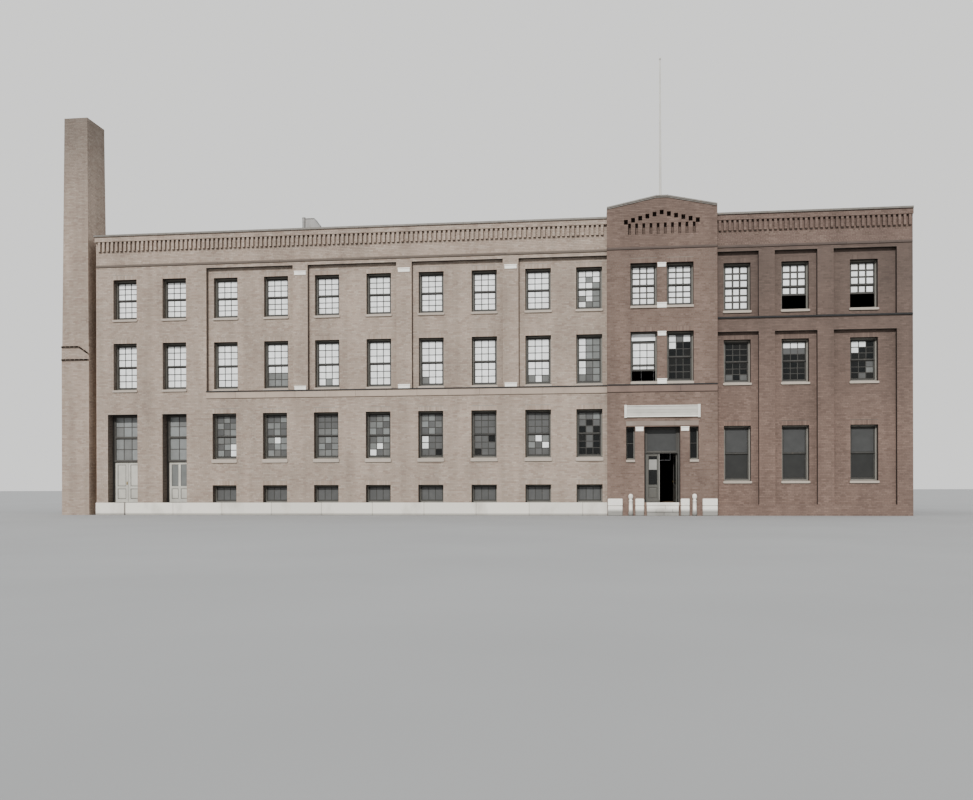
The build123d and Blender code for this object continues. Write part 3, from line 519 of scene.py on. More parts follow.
SIGN_PAINT = PaintFinish("sign paint", "sign_paint", (0.72, 0.7, 0.64), worn=0.15)
SIGN_FIELD = PaintFinish("sign field paint", "sign_paint", (0.56, 0.54, 0.485), worn=0.15)
POLE_PAINT = PaintFinish("pole paint", "pole_paint", (0.6, 0.58, 0.53))
COPING_METAL = MetalFinish("coping metal", "coping_metal", (0.19, 0.175, 0.155))
VENT_METAL = MetalFinish("weathered vent metal", "coping_metal", (0.3, 0.29, 0.275))
HINGE_IRON = MetalFinish("hinge iron", "hinge_iron", (0.07, 0.065, 0.06), rusty=0.6, metallic=0.8)
BRASS = MetalFinish("worn brass", "hinge_iron", (0.42, 0.31, 0.14), rusty=0.4, roughness=0.4, metallic=0.9)
ROOF_FELT = GravelFinish("roof gravel", "roof_felt", (0.12, 0.115, 0.11), (0.3, 0.29, 0.27), 40.0)
CONCRETE = GravelFinish("worn concrete", "floor_concrete", (0.3, 0.29, 0.27), (0.4, 0.39, 0.37), 60.0)
FLOOR_BOARDS = BoardFinish("floor boards", "floor_boards", (0.3, 0.22, 0.15), (0.07, 0.05, 0.04))


class Pane(Enum):
    """How a window pane looks from outside. Its tone is painted: the pale one stands for the sky's reflection, the
    darker ones for the shade of the rooms behind.
    """

    PALE = "P"
    DIM = "G"
    MURKY = "M"
    HAZY = "H"
    SMOKY = "S"
    DARK = "D"


# Painted reflection and painted shade: the sky lit glass is near white for the sky's reflection, the others are darker
# for the shade of the rooms behind, and the darkest lets a tenth of the real room show through.
PANE_FINISHES = {
    Pane.PALE: PaneFinish("sky lit glass", "window_glass", (0.93, 0.94, 0.93), (0.85, 0.86, 0.84), 0.22),
    Pane.DIM: PaneFinish("dim glass in painted shade", "window_glass", (0.25, 0.26, 0.25), (0.17, 0.17, 0.16), 0.18),
    Pane.MURKY: PaneFinish("murky glass", "window_glass", (0.13, 0.13, 0.125), (0.11, 0.11, 0.105), 0.3),
    Pane.HAZY: PaneFinish("hazy glass", "window_glass", (0.09, 0.09, 0.087), (0.08, 0.08, 0.077), 0.3, ior=1.4),
    Pane.SMOKY: PaneFinish("smoky glass", "window_glass", (0.055, 0.055, 0.052), (0.045, 0.045, 0.042), 0.25,
                           ior=1.4),
    Pane.DARK: PaneFinish("dark glass in painted shade", "window_glass", (0.02, 0.022, 0.022), (0.032, 0.032, 0.03), 0.1, 0.1, 1.3),
}


# Grey door glass: painted shade of the rooms behind, as on the dim panes.
DOOR_GLASS = PaneFinish("door light glass", "window_glass", (0.3, 0.31, 0.3), (0.2, 0.2, 0.19), 0.2)


# Meshes


CUBE = np.array([[0, 0, 0], [1, 0, 0], [1, 1, 0], [0, 1, 0], [0, 0, 1], [1, 0, 1], [1, 1, 1], [0, 1, 1]], float)
CUBE_FACES = ((0, 3, 2, 1), (4, 5, 6, 7), (0, 1, 5, 4), (1, 2, 6, 5), (2, 3, 7, 6), (3, 0, 4, 7))
BRICK_FACES = ((4, 5, 6, 7), (0, 1, 5, 4), (1, 2, 6, 5), (2, 3, 7, 6), (3, 0, 4, 7))


def placed(name: str, data: bpy.types.ID) -> bpy.types.Object:
    """Puts a mesh, a lamp or a camera into the scene."""
    thing = bpy.data.objects.new(name, data)
    bpy.context.scene.collection.objects.link(thing)
    return thing


class Shape:
    """Gathers corners and faces, and turns them into one named piece."""

    def __init__(self) -> None:
        """Starts with nothing."""
        self.corners: list[np.ndarray] = []
        self.faces: list[tuple[int, ...]] = []
        self.marks: list[int] = []
        self.count = 0

    def add(self, corners: np.ndarray, faces: Iterable[tuple[int, ...]], mark: int = 0) -> None:
        """Adds corners with the faces between them.

        Args:
            corners: The corners, one row each.
            faces: The faces, as numbers of these corners.
            mark: Which of the piece's finishes they take.
        """
        for face in faces:
            self.faces.append(tuple(index + self.count for index in face))
            self.marks.append(mark)
        self.corners.append(np.asarray(corners, float))
        self.count += len(corners)

    def box(self, low: Point, high: Point, mark: int = 0) -> None:
        """Adds a block between two corners."""
        start = np.minimum(low, high)
        self.add(start + CUBE * (np.maximum(low, high) - start), CUBE_FACES, mark)

    def run(self, profile: Sequence[Pair], start: float, end: float, mark: int = 0) -> None:
        """Adds a moulding that runs along X with one profile.

        Args:
            profile: Its depth and height at each corner, in order.
            start: Where it starts along X.
            end: Where it ends.
            mark: Which finish it takes.
        """
        count = len(profile)
        turns = sum(y * next_z - next_y * z for (y, z), (next_y, next_z) in zip(profile, [*profile[1:], profile[0]]))
        profile = profile if turns > 0 else profile[::-1]
        corners = [(x, y, z) for x in (start, end) for y, z in profile]
        faces = [(i, (i + 1) % count, (i + 1) % count + count, i + count) for i in range(count)]
        faces.append(tuple(reversed(range(count))))
        faces.append(tuple(range(count, 2 * count)))
        self.add(np.array(corners), faces, mark)

    def slab(self, outline: Sequence[Pair], near: float, far: float, mark: int = 0) -> None:
        """Adds a slab with one outline, seen from the front.

        Args:
            outline: Its X and Z at each corner, turning left at each.
            near: Its front.
            far: Its back.
            mark: Which finish it takes.
        """
        count = len(outline)
        corners = [(x, y, z) for y in (near, far) for x, z in outline]
        faces = [(i, i + count, (i + 1) % count + count, (i + 1) % count) for i in range(count)]
        faces += [tuple(range(count)), tuple(reversed(range(count, 2 * count)))]
        self.add(np.array(corners), faces, mark)

    def turned(self, middle: Pair, rings: Sequence[Pair], sides: int = 24, mark: int = 0) -> None:
        """Adds a round form that stands on its axis.

        Args:
            middle: X and Y of the axis.
            rings: Radius and height of each ring, from the foot up.
            sides: How many sides go round.
            mark: Which finish it takes.
        """
        angles = np.arange(sides) * 2 * math.pi / sides
        corners = [(middle[0] + radius * math.cos(a), middle[1] + radius * math.sin(a), z)
                   for radius, z in rings for a in angles]
        faces = [tuple(reversed(range(sides)))]
        for ring in range(len(rings) - 1):
            for i in range(sides):
                near, far = ring * sides + i, ring * sides + (i + 1) % sides
                faces.append((near, far, far + sides, near + sides))
        last = (len(rings) - 1) * sides
        faces.append(tuple(range(last, last + sides)))
        self.add(np.array(corners), faces, mark)

    def ring(self, span: Span, near: float, far: float, stile: float, foot: Pair, head: Pair,
             mark: int = 0) -> Span:
        """Adds a frame of two stiles with a rail at the head and one at the foot.

        Args:
            span: Left, right, foot and head of the frame.
            near: Its front.
            far: Its back.
            stile: How wide its stiles are.
            foot: How high its lower rail is, and how far behind the front it starts.
            head: The same of its upper rail.
            mark: Which finish it takes.

        Returns:
            Left, right, foot and head of what stays open.
        """
        left, right, low, high = span
        for start in (left, right - stile):
            self.box((start, near, low), (start + stile, far, high), mark)
        left, right = left + stile, right - stile
        self.box((left, near + head[1], high - head[0]), (right, far, high), mark)
        self.box((left, near + foot[1], low), (right, far, low + foot[0]), mark)
        return left, right, low + foot[0], high - head[0]

    def flip(self) -> None:
        """Turns every face the other way, after the corners were mirrored."""
        self.faces = [face[::-1] for face in self.faces]

    def merge(self, other: "Shape") -> None:
        """Adds everything of another shape."""
        self.faces += [tuple(index + self.count for index in face) for face in other.faces]
        self.marks += other.marks
        self.corners += other.corners
        self.count += other.count

    def piece(self, name: str, finishes: Sequence[Finish], body: str = BUILDING, nodes: Sequence[str] = (),
              bevel: float = 0.0, smooth: bool = False) -> None:
        """Makes the piece, dresses it and puts it on its body.

        Args:
            name: The piece's name.
            finishes: Its finishes, in the order of their marks.
            body: The body that it rides on.
            nodes: The solid pieces that it stands for.
            bevel: How wide its worn edges are, in metres.
            smooth: Whether its faces are shaded as one curve.
        """
        mesh = bpy.data.meshes.new(name)
        mesh.from_pydata(np.concatenate(self.corners).tolist(), [], self.faces)
        mesh.polygons.foreach_set("material_index", self.marks)
        for finish in finishes:
            mesh.materials.append(finish.material())
        if smooth:
            mesh.shade_smooth()
        mesh.update()
        thing = placed(name, mesh)
        if bevel:
            edge = thing.modifiers.new("worn edges", "BEVEL")
            edge.width = bevel
            edge.segments = 1
            edge.limit_method = "ANGLE"
        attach(thing, body)
        if nodes:
            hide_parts(*nodes)
        log.info("%s: %d corners, %d faces", name, len(mesh.vertices), len(mesh.polygons))


# Brickwork


class Bond(Enum):
    """How the bricks of a face are laid."""

    COMMON = "stretchers with a header course now and then"
    SOLDIER = "upright bricks side by side"


class Gap(NamedTuple):
    """Part of a wall's face with no brick of that face: left, right, foot and head."""

    left: float
    right: float
    foot: float
    head: float


@dataclass(frozen=True)
class Face:
    """One upright face of brickwork. Its length runs to the right as seen from outside."""

    base: Pair
    along: Pair
    start: float
    end: float
    foot: float
    head: float
    gaps: tuple[Gap, ...] = ()
    bond: Bond = Bond.COMMON
    lean: float = 0.0
    roofline: tuple[Pair, ...] = ()


def front(y: float, start: float, end: float, foot: float, head: float, gaps: Sequence[Gap] = (),
          roofline: Sequence[Pair] = ()) -> Face:
    """Gives a face that looks out of the front, measured by X."""
    return Face((0.0, y), (1.0, 0.0), start, end, foot, head, tuple(gaps), roofline=tuple(roofline))


def looking_right(x: float, low: float, high: float, foot: float, head: float, gaps: Sequence[Gap] = ()) -> Face:
    """Gives a face that looks along +X, measured by Y."""
    return Face((x, 0.0), (0.0, 1.0), low, high, foot, head, tuple(gaps))


def around(middle: float, width: float, foot: float, head: float) -> Gap:
    """Gives a gap of one width round its middle."""
    return Gap(middle - width / 2, middle + width / 2, foot, head)


def mirrored(gaps: Sequence[Gap]) -> tuple[Gap, ...]:
    """Gives gaps as they lie on a face that is measured the other way."""
    return tuple(Gap(-gap.right, -gap.left, gap.foot, gap.head) for gap in gaps)


def looking_left(x: float, low: float, high: float, foot: float, head: float, gaps: Sequence[Gap] = ()) -> Face:
    """Gives a face that looks along -X, measured by -Y."""
    return Face((x, 0.0), (0.0, -1.0), -high, -low, foot, head, mirrored(gaps))


def looking_back(y: float, low: float, high: float, foot: float, head: float, gaps: Sequence[Gap] = ()) -> Face:
    """Gives a face that looks along +Y, measured by -X."""
    return Face((0.0, y), (-1.0, 0.0), -high, -low, foot, head, mirrored(gaps))


def jambs(gap: Gap, near: float, far: float) -> list[Face]:
    """Gives the side faces of an opening in a wall that looks out of the front or the back.

    Args:
        gap: The opening.
        near: Where the side faces start.
        far: Where they end.

    Returns:
        The face at its left and the one at its right.
    """
    return [looking_right(gap.left, near, far, gap.foot, gap.head),
            looking_left(gap.right, near, far, gap.foot, gap.head)]


def soldiers(face: Face) -> Face:
    """Gives the same face, laid with upright bricks."""
    return replace(face, bond=Bond.SOLDIER)


@dataclass
class Brickwork:
    """Lays bricks over upright faces, course by course, with real joints between them.

    The bricks of the unseen walls have no ends in their upright joints.
    """

    seed: int
    length: float = 0.22
    course: float = 0.075
    joint: float = 0.01
    relief: float = 0.006
    uneven: float = 0.0012
    least: float = 0.045
    header_every: int = 6
    ends: bool = True
    bricks: list[np.ndarray] = field(default_factory=list)

    def __post_init__(self) -> None:
        """Seeds the random draws."""
        self.random = np.random.default_rng(self.seed)

    def lay(self, faces: Iterable[Face]) -> None:
        """Lays the bricks of several faces.

        Args:
            faces: The faces, which don't overlap.
        """
        for face in faces:
            if face.bond is Bond.SOLDIER:
                self.fill(face, 0.0, self.course, face.start, face.end, face.foot, face.head - self.joint)
                continue
            first = math.floor(face.foot / self.course)
            for index in range(first, math.ceil(face.head / self.course)):
                low = max(face.foot, index * self.course + self.joint / 2)
                high = min(face.head, (index + 1) * self.course - self.joint / 2)
                header = index % self.header_every == 0
                pitch = self.length / 2 if header else self.length
                shift = self.length / 4 if header else (index % 2) * self.length / 2
                for span in self.spans(face, low, high):
                    self.fill(face, shift, pitch, *span)

    def spans(self, face: Face, low: float, high: float) -> list[tuple[float, float, float, float]]:
        """Finds the free stretches of one course.

        Args:
            face: The face.
            low: The course's foot.
            high: The course's head.

        Returns:
            Start, end, foot and head of each stretch.
        """
        near = [gap for gap in face.gaps if gap.foot < high and gap.head > low]
        drawn_in = face.lean * (low - face.foot)
        start, end = face.start + drawn_in, face.end - drawn_in
        edges = sorted({start, end, *(e for gap in near for e in (gap.left, gap.right) if start < e < end)})
        found: list[tuple[float, float, float, float]] = []
        for left, right in zip(edges, edges[1:]):
            middle = (left + right) / 2
            foot, head = low, high
            for gap in near:
                if gap.left < middle < gap.right:
                    if gap.foot <= foot:
                        foot = max(foot, gap.head)
                    else:
                        head = min(head, gap.foot)
            if head - foot < 0.02:
                continue
            if found and found[-1][1] == left and found[-1][2:] == (foot, head):
                found[-1] = (found[-1][0], right, foot, head)
            else:
                found.append((left, right, foot, head))
        return found

    def fill(self, face: Face, shift: float, pitch: float, start: float, end: float, foot: float,
             head: float) -> None:
        """Lays one stretch of bricks.

        Args:
            face: The face that they lie in.
            shift: Where the joints start.
            pitch: How far apart the joints are.
            start: The stretch's start.
            end: The stretch's end.
            foot: The bricks' foot.
            head: The bricks' head.
        """
        first = math.ceil((start + self.least - shift) / pitch)
        last = math.floor((end - self.least - shift) / pitch)
        cuts = np.arange(first, last + 1) * pitch + shift
        edges = np.concatenate([[start], cuts, [end]])
        left, right = edges[:-1].copy(), edges[1:].copy()
        left[1:] += self.joint / 2
        right[:-1] -= self.joint / 2
        along = np.stack([left, right, right, left], 1)
        up = np.broadcast_to([foot, foot, head, head], along.shape).copy()
        if face.roofline:
            line = np.array(face.roofline)
            roof = np.interp(along, line[:, 0], line[:, 1])
            up[:, 2:] = np.minimum(up[:, 2:], roof[:, 2:])
            keep = up[:, 2:].max(1) - foot > 0.02
            along, up = along[keep], np.maximum(up[keep], foot + 0.0005 * (np.arange(4) > 1))
        if not len(along):
            return
        out = self.relief + self.random.uniform(-self.uneven, self.uneven, (len(along), 1))
        out = out + self.random.uniform(-0.0006, 0.0006, along.shape)
        back = np.full(along.shape, -0.003)
        rings = []
        for depth in (back, out):
            depth = depth - face.lean * (up - face.foot)
            x = face.base[0] + face.along[0] * along + face.along[1] * depth
            y = face.base[1] + face.along[1] * along - face.along[0] * depth
            rings.append(np.stack([x, y, up], 2))
        self.bricks.append(np.concatenate(rings, 1))

    def piece(self, name: str, finish: Finish) -> None:
        """Turns the laid bricks into a piece with one finish."""
        bricks = np.concatenate(self.bricks)
        starts = np.arange(len(bricks))[:, None, None] * 8
        kinds = BRICK_FACES if self.ends else BRICK_FACES[:2] + BRICK_FACES[3:4]
        faces = (np.array(kinds)[None] + starts).reshape(-1, 4)
        shape = Shape()
        shape.corners.append(bricks.reshape(-1, 3))
        shape.faces = faces.tolist()
        shape.marks = [0] * len(faces)
        shape.count = 8 * len(bricks)
        shape.piece(name, [finish])


# The building's main lines


@dataclass(frozen=True)
class Plan:
    """The building's main lines in metres: X along the front, Y from front to back, Z up."""

    x_left: float = -18.05
    x_pavilion: float = 6.57
    x_centre: float = 9.01
    x_wing: float = 11.45
    x_right: float = 19.85
    y_face: float = -5.75
    y_pavilion: float = -6.01
    y_back: float = 6.25
    window: float = 1.19
    reveal: float = 0.3
    panel: float = 0.2
    sunk_reveal: float = 0.24
    z_base: float = 0.6
    z_basement_head: float = 1.425
    z_belt: float = 5.58
    z_belt_head: float = 5.935
    z_panel_head: float = 11.84
    z_string: float = 12.0
    z_frieze: float = 12.12
    z_dentil: float = 12.77
    z_band: float = 13.23
    z_parapet: float = 13.47
    z_coping: float = 13.58
    z_entrance_head: float = 4.01
    storeys: tuple[Pair, ...] = ((2.685, 4.86), (6.06, 8.3), (9.48, 11.39))
    left_bays: tuple[float, ...] = (-16.58, -14.08, -11.58, -9.08, -6.58, -4.08, -1.58, 0.92, 3.42, 5.76)
    twin_bays: tuple[float, ...] = (8.203, 9.817)
    wing_bays: tuple[float, ...] = (12.37, 14.9, 17.85)
    end_bays: tuple[float, ...] = (-1.04375, 1.69375, 4.43125)
    left_panels: tuple[Pair, ...] = ((-12.47, -8.19), (-7.47, -3.19), (-2.47, 1.81), (2.53, 6.57))
    wing_panels: tuple[Pair, ...] = ((11.45, 13.29), (13.98, 15.82), (16.51, 19.19))
    wing_panel_foot: float = 0.5
    wing_belt: float = 8.24
    wing_belt_head: float = 8.92


PLAN = Plan()
PEDIMENT_RAKE: tuple[Pair, ...] = ((6.57, 13.85), (8.76, 14.3), (9.26, 14.3), (11.45, 13.85))


@dataclass(frozen=True)
class Glazing:
    """How a window is glazed: one word per row of panes from the top, and how far its sashes are moved."""

    upper: str = "PPP PPP PPP"
    lower: str = "PPP PPP PPP"
    raised: float = 0.0
    lowered: float = 0.0
    bar: float = 0.036


@dataclass(frozen=True)
class Wall:
    """A wall's face that windows stand in, how deep they stand in it, and how deep their sills are."""

    y: float
    reveal: float
    sill: float


# The flush front, the sunk panels and the pavilion's front, which stands out.
FLUSH = Wall(PLAN.y_face, PLAN.reveal, 0.43)
SUNK = Wall(PLAN.y_face + PLAN.panel, PLAN.sunk_reveal, 0.37)
OUTER = Wall(PLAN.y_pavilion, PLAN.reveal, 0.43)

ALL_PALE = Glazing()
DARK = "DDD DDD DDD"
MURKY = "MMM MMM MMM"
# How high most sills are, and the flat arches of upright bricks over the windows.
SILL = 0.125
ARCH = 0.215
WINDOW_PAINTS = (SASH_PAINT, FRAME_PAINT, PALE_FRAME_PAINT)


class FrameMark(IntEnum):
    """Which of the window paints a frame has."""

    PLAIN = 1
    PALE = 2


@dataclass(frozen=True)
class Opening:
    """A window's opening: its middle, foot and head, its sill's height, its wall and its frame's finish."""

    at: float
    foot: float
    head: float
    sill: float = SILL
    glazing: Glazing = ALL_PALE
    wall: Wall = FLUSH
    frame: FrameMark = FrameMark.PLAIN

    def hole(self) -> Gap:
        """The opening itself."""
        return around(self.at, PLAN.window, self.foot, self.head)

    def gap(self) -> Gap:
        """The hole that the window and its sill take up in the brickwork."""
        return self.hole()._replace(foot=self.foot - self.sill)

    def arch(self) -> Gap:
        """The flat arch of upright bricks over the window."""
        return self.hole()._replace(foot=self.head, head=self.head + ARCH)


def row(bays: Sequence[float], storey: Pair, sill: float = SILL, glazings: Sequence[Glazing] = (ALL_PALE,),
        walls: Sequence[Wall] = (FLUSH,), frame: FrameMark = FrameMark.PLAIN) -> list[Opening]:
    """Gives one row of windows.

    Args:
        bays: The middle of each window.
        storey: The foot and head of their openings.
        sill: The sills' height.
        glazings: How each is glazed. The last one holds for the rest.
        walls: The wall that each is in. The last one holds for the rest.
        frame: The finish of their frames.

    Returns:
        The openings.
    """
    return [Opening(at, *storey, sill, glazings[min(i, len(glazings) - 1)], walls[min(i, len(walls) - 1)], frame)
            for i, at in enumerate(bays)]


GROUND, SECOND, THIRD = PLAN.storeys
LEFT_WALLS = (FLUSH, FLUSH, SUNK)
BASEMENT = row(PLAN.left_bays[2:], (PLAN.z_base, PLAN.z_basement_head), 0.0)
LEFT_GROUND = row(PLAN.left_bays[2:], GROUND, 0.19, (
    Glazing("MGM GMG MGG", "GGG MGP GMP"),
    Glazing("MMG GGM MGM", "GPG MGG GGM"),
    Glazing("MMM MMM GGG", "GGG GMG GGG"),
    Glazing("MGG GGM GMG", "MGG GPG PMG"),
    Glazing("GGM GMG MGM", "PMM PMM MMD"),
    Glazing(MURKY, "MMD MMM DMM"),
    Glazing(MURKY, "GPG GMP MMM"),
    Glazing("GMG MDM DMD", "DMD DMD DDD"),
))
LEFT_SECOND = row(PLAN.left_bays, SECOND, glazings=(
    ALL_PALE, ALL_PALE, ALL_PALE, Glazing(lower="PPP GGG GGG"), Glazing(lower="PPP PPP PGP"),
    ALL_PALE, Glazing(lower="PPP PPP GPP"), ALL_PALE, Glazing(lower="PPP PPP GPG"),
    Glazing("PGG PGG PGG", "PGG PMG GMG"),
), walls=LEFT_WALLS)
LEFT_THIRD = row(PLAN.left_bays, THIRD, walls=LEFT_WALLS,
                 glazings=(ALL_PALE,) * 9 + (Glazing("PPP PGP PPG", "PPG GPG PGG"),))
TWIN_SECOND = row(PLAN.twin_bays, SECOND, walls=(OUTER,), glazings=(
    Glazing(raised=0.45, lowered=0.36), Glazing("PMP PDD DDD", DARK)))
TWIN_THIRD = row(PLAN.twin_bays, THIRD, walls=(OUTER,), glazings=(Glazing(bar=0.062),))
WING_GROUND = row(PLAN.wing_bays, (1.57, 4.04), walls=(SUNK,), frame=FrameMark.PALE, glazings=(Glazing("H", "S"),))
WING_SECOND = row(PLAN.wing_bays, (5.99, 7.91), walls=(SUNK,), frame=FrameMark.PALE, glazings=(
    Glazing(DARK, "DDD DDD MDM"), Glazing("PPP MMM DDD", DARK),
    Glazing("PPD PDD DDD", "DDM DDG DMD")))
WING_THIRD = row(PLAN.wing_bays, (9.24, 11.37), walls=(SUNK,), glazings=(
    Glazing(bar=0.08), Glazing(raised=0.6, bar=0.08)))

PLAIN_WINDOWS = LEFT_SECOND[:2] + LEFT_THIRD[:2]
SUNK_WINDOWS = LEFT_SECOND[2:] + LEFT_THIRD[2:]
TWIN_WINDOWS = TWIN_SECOND + TWIN_THIRD
WING_WINDOWS = WING_GROUND + WING_SECOND + WING_THIRD
BACK_WINDOWS = [window for storey in PLAN.storeys
                for window in row(PLAN.left_bays + PLAN.twin_bays + PLAN.wing_bays, storey)]
END_WINDOWS = [window for storey in PLAN.storeys for window in row(PLAN.end_bays, storey)]


class Block(NamedTuple):
    """A stone block on a wall's face: its sides, foot and head, the wall's face and how far it stands out."""

    left: float
    right: float
    foot: float
    head: float
    y: float
    out: float = 0.035


def pilaster_blocks() -> list[Block]:
    """Gives the blocks at the head and foot of the left block's pilasters."""
    return [Block(left + 0.08, right - 0.08, foot, head, PLAN.y_face)
            for (_, left), (right, _) in zip(PLAN.left_panels, PLAN.left_panels[1:])
            for foot, head in ((11.37, 11.57), (PLAN.z_belt_head, 6.125))]


def pavilion_blocks() -> list[Block]:
    """Gives the blocks of the pavilion's plinth, of its entrance piers and of the piers between its windows."""
    y, centre = PLAN.y_pavilion, PLAN.x_centre
    found = []
    for near, far in ((0.8, 1.21), (1.76, 2.44)):
        found.append(Block(centre - far, centre - near, 0.0, 0.77, y, 0.045))
        found.append(Block(centre + near, centre + far, 0.0, 0.77, y, 0.045))
    for left in (centre - 1.21, centre + 0.8):
        found.append(Block(left + 0.03, left + 0.38, 3.81, PLAN.z_entrance_head, y))
    left, right = TWIN_SECOND[0].hole().right, TWIN_SECOND[1].hole().left
    for sill, head in (SECOND, THIRD):
        found.append(Block(left + 0.03, right - 0.03, head - 0.2, head, y))
        found.append(Block(left, right, sill - SILL, sill + 0.115, y))
    return found


PILASTER_BLOCKS = pilaster_blocks()
PAVILION_BLOCKS = pavilion_blocks()
SIDE_LIGHTS = [around(x, 0.4, 2.545, PLAN.z_entrance_head) for x in (7.6, 10.42)]


def gaps_of(openings: Iterable[Opening]) -> list[Gap]:
    """Gives the holes of some windows and of the flat arches over them."""
    return [gap for opening in openings for gap in (opening.gap(), opening.arch())]


def gaps_under(blocks: Iterable[Block]) -> list[Gap]:
    """Gives the places of some stone blocks."""
    return [Gap(*block[:4]) for block in blocks]


def dress_openings(brickwork: Brickwork, openings: Iterable[Opening]) -> None:
    """Lays the flat arches and the jambs of some windows in a front wall.

    Args:
        brickwork: What lays the bricks.
        openings: The windows.
    """
    for opening in openings:
        y = opening.wall.y
        brickwork.lay([soldiers(front(y, *opening.arch())), *jambs(opening.hole(), y, y + opening.wall.reveal)])


def lay_panels(brickwork: Brickwork, panels: Sequence[Gap], windows: Sequence[Opening]) -> None:
    """Lays the sunk faces of a front wall's panels, and their narrow side faces.

    Args:
        brickwork: What lays the bricks.
        panels: The panels.
        windows: The windows in them.
    """
    for panel in panels:
        brickwork.lay([front(SUNK.y, *panel, gaps_of(windows))])
    for panel in panels:
        brickwork.lay(jambs(panel, PLAN.y_face, SUNK.y))


@dataclass
class LeftBlock:
    """The long left block's brickwork, with its sunk panels, belt and door openings."""

    doors: tuple[Gap, ...] = (Gap(-17.475, -15.955, 0.6, 4.86), Gap(-14.695, -13.465, 0.6, 4.86))
    door_depth: float = 0.49

    def build(self) -> None:
        """Lays the bricks of the block's front."""
        brickwork = Brickwork(11)
        flush = PLAIN_WINDOWS + LEFT_GROUND + BASEMENT
        belt = Gap(PLAN.left_panels[0][0], PLAN.x_pavilion, PLAN.z_belt, PLAN.z_belt_head)
        panels = [Gap(*sides, PLAN.z_belt_head, PLAN.z_panel_head) for sides in PLAN.left_panels]
        gaps = [belt, *self.doors, *panels, *gaps_under(PILASTER_BLOCKS), *gaps_of(flush)]
        brickwork.lay([front(PLAN.y_face, PLAN.x_left - PROUD, PLAN.x_pavilion, PLAN.z_base, PLAN.z_string, gaps)])
        lay_panels(brickwork, panels, SUNK_WINDOWS)
        dress_openings(brickwork, flush + SUNK_WINDOWS)
        for door in self.doors:
            brickwork.lay(jambs(door, PLAN.y_face, PLAN.y_face + self.door_depth))
        brickwork.piece("left_block_bricks", LEFT_BRICK)


@dataclass
class Pavilion:
    """The entrance pavilion's brickwork up to the string course."""

    half_entrance: float = 0.8
    entrance_depth: float = 0.4
    pier: float = 0.41
    side_light: float = 0.4
    side_sill: float = 2.42
    lintel: Pair = (4.05, 4.25)
    sign: Gap = Gap(7.33, 10.69, 4.44, 4.97)

    def build(self) -> None:
        """Lays the bricks of the pavilion."""
        brickwork = Brickwork(23)
        y, centre, half = PLAN.y_pavilion, PLAN.x_centre, self.half_entrance
        near, far = half + self.pier, half + self.pier + self.side_light
        entrance = Gap(centre - half, centre + half, PLAN.z_base, PLAN.z_entrance_head)
        left_light = Gap(centre - far, centre - near, self.side_sill, PLAN.z_entrance_head)
        right_light = Gap(centre + near, centre + far, self.side_sill, PLAN.z_entrance_head)
        gaps = [entrance, left_light, right_light, self.sign, entrance._replace(foot=0.0, head=PLAN.z_base),
                Gap(left_light.left, right_light.right, *self.lintel),
                Gap(PLAN.x_pavilion, PLAN.x_wing, PLAN.z_belt, PLAN.z_belt_head),
                *gaps_under(PAVILION_BLOCKS), *gaps_of(TWIN_WINDOWS)]
        brickwork.lay([front(y, PLAN.x_pavilion - PROUD, PLAN.x_wing + PROUD, 0.0, PLAN.z_string, gaps),
                       looking_left(PLAN.x_pavilion, y, PLAN.y_face, 0.0, PLAN.z_string),
                       looking_right(PLAN.x_wing, y, PLAN.y_face, 0.0, PLAN.z_string)])
        dress_openings(brickwork, TWIN_WINDOWS)
        brickwork.lay([*jambs(entrance, y, y + self.entrance_depth), *jambs(left_light, y, y + PLAN.reveal),
                       *jambs(right_light, y, y + PLAN.reveal)])
        brickwork.piece("pavilion_bricks", PAVILION_BRICK)


@dataclass
class RightWing:
    """The darker right wing's brickwork, with three sunk panels in two tiers."""

    def build(self) -> None:
        """Lays the bricks of the wing."""
        brickwork = Brickwork(37)
        tiers = ((PLAN.wing_panel_foot, PLAN.wing_belt), (PLAN.wing_belt_head, PLAN.z_panel_head))
        panels = [Gap(*sides, *tier) for tier in tiers for sides in PLAN.wing_panels]
        brickwork.lay([front(PLAN.y_face, PLAN.x_wing, PLAN.x_right + PROUD, 0.0, PLAN.z_string, panels)])
        lay_panels(brickwork, panels, WING_WINDOWS)
        dress_openings(brickwork, WING_WINDOWS)
        brickwork.piece("wing_bricks", WING_BRICK)


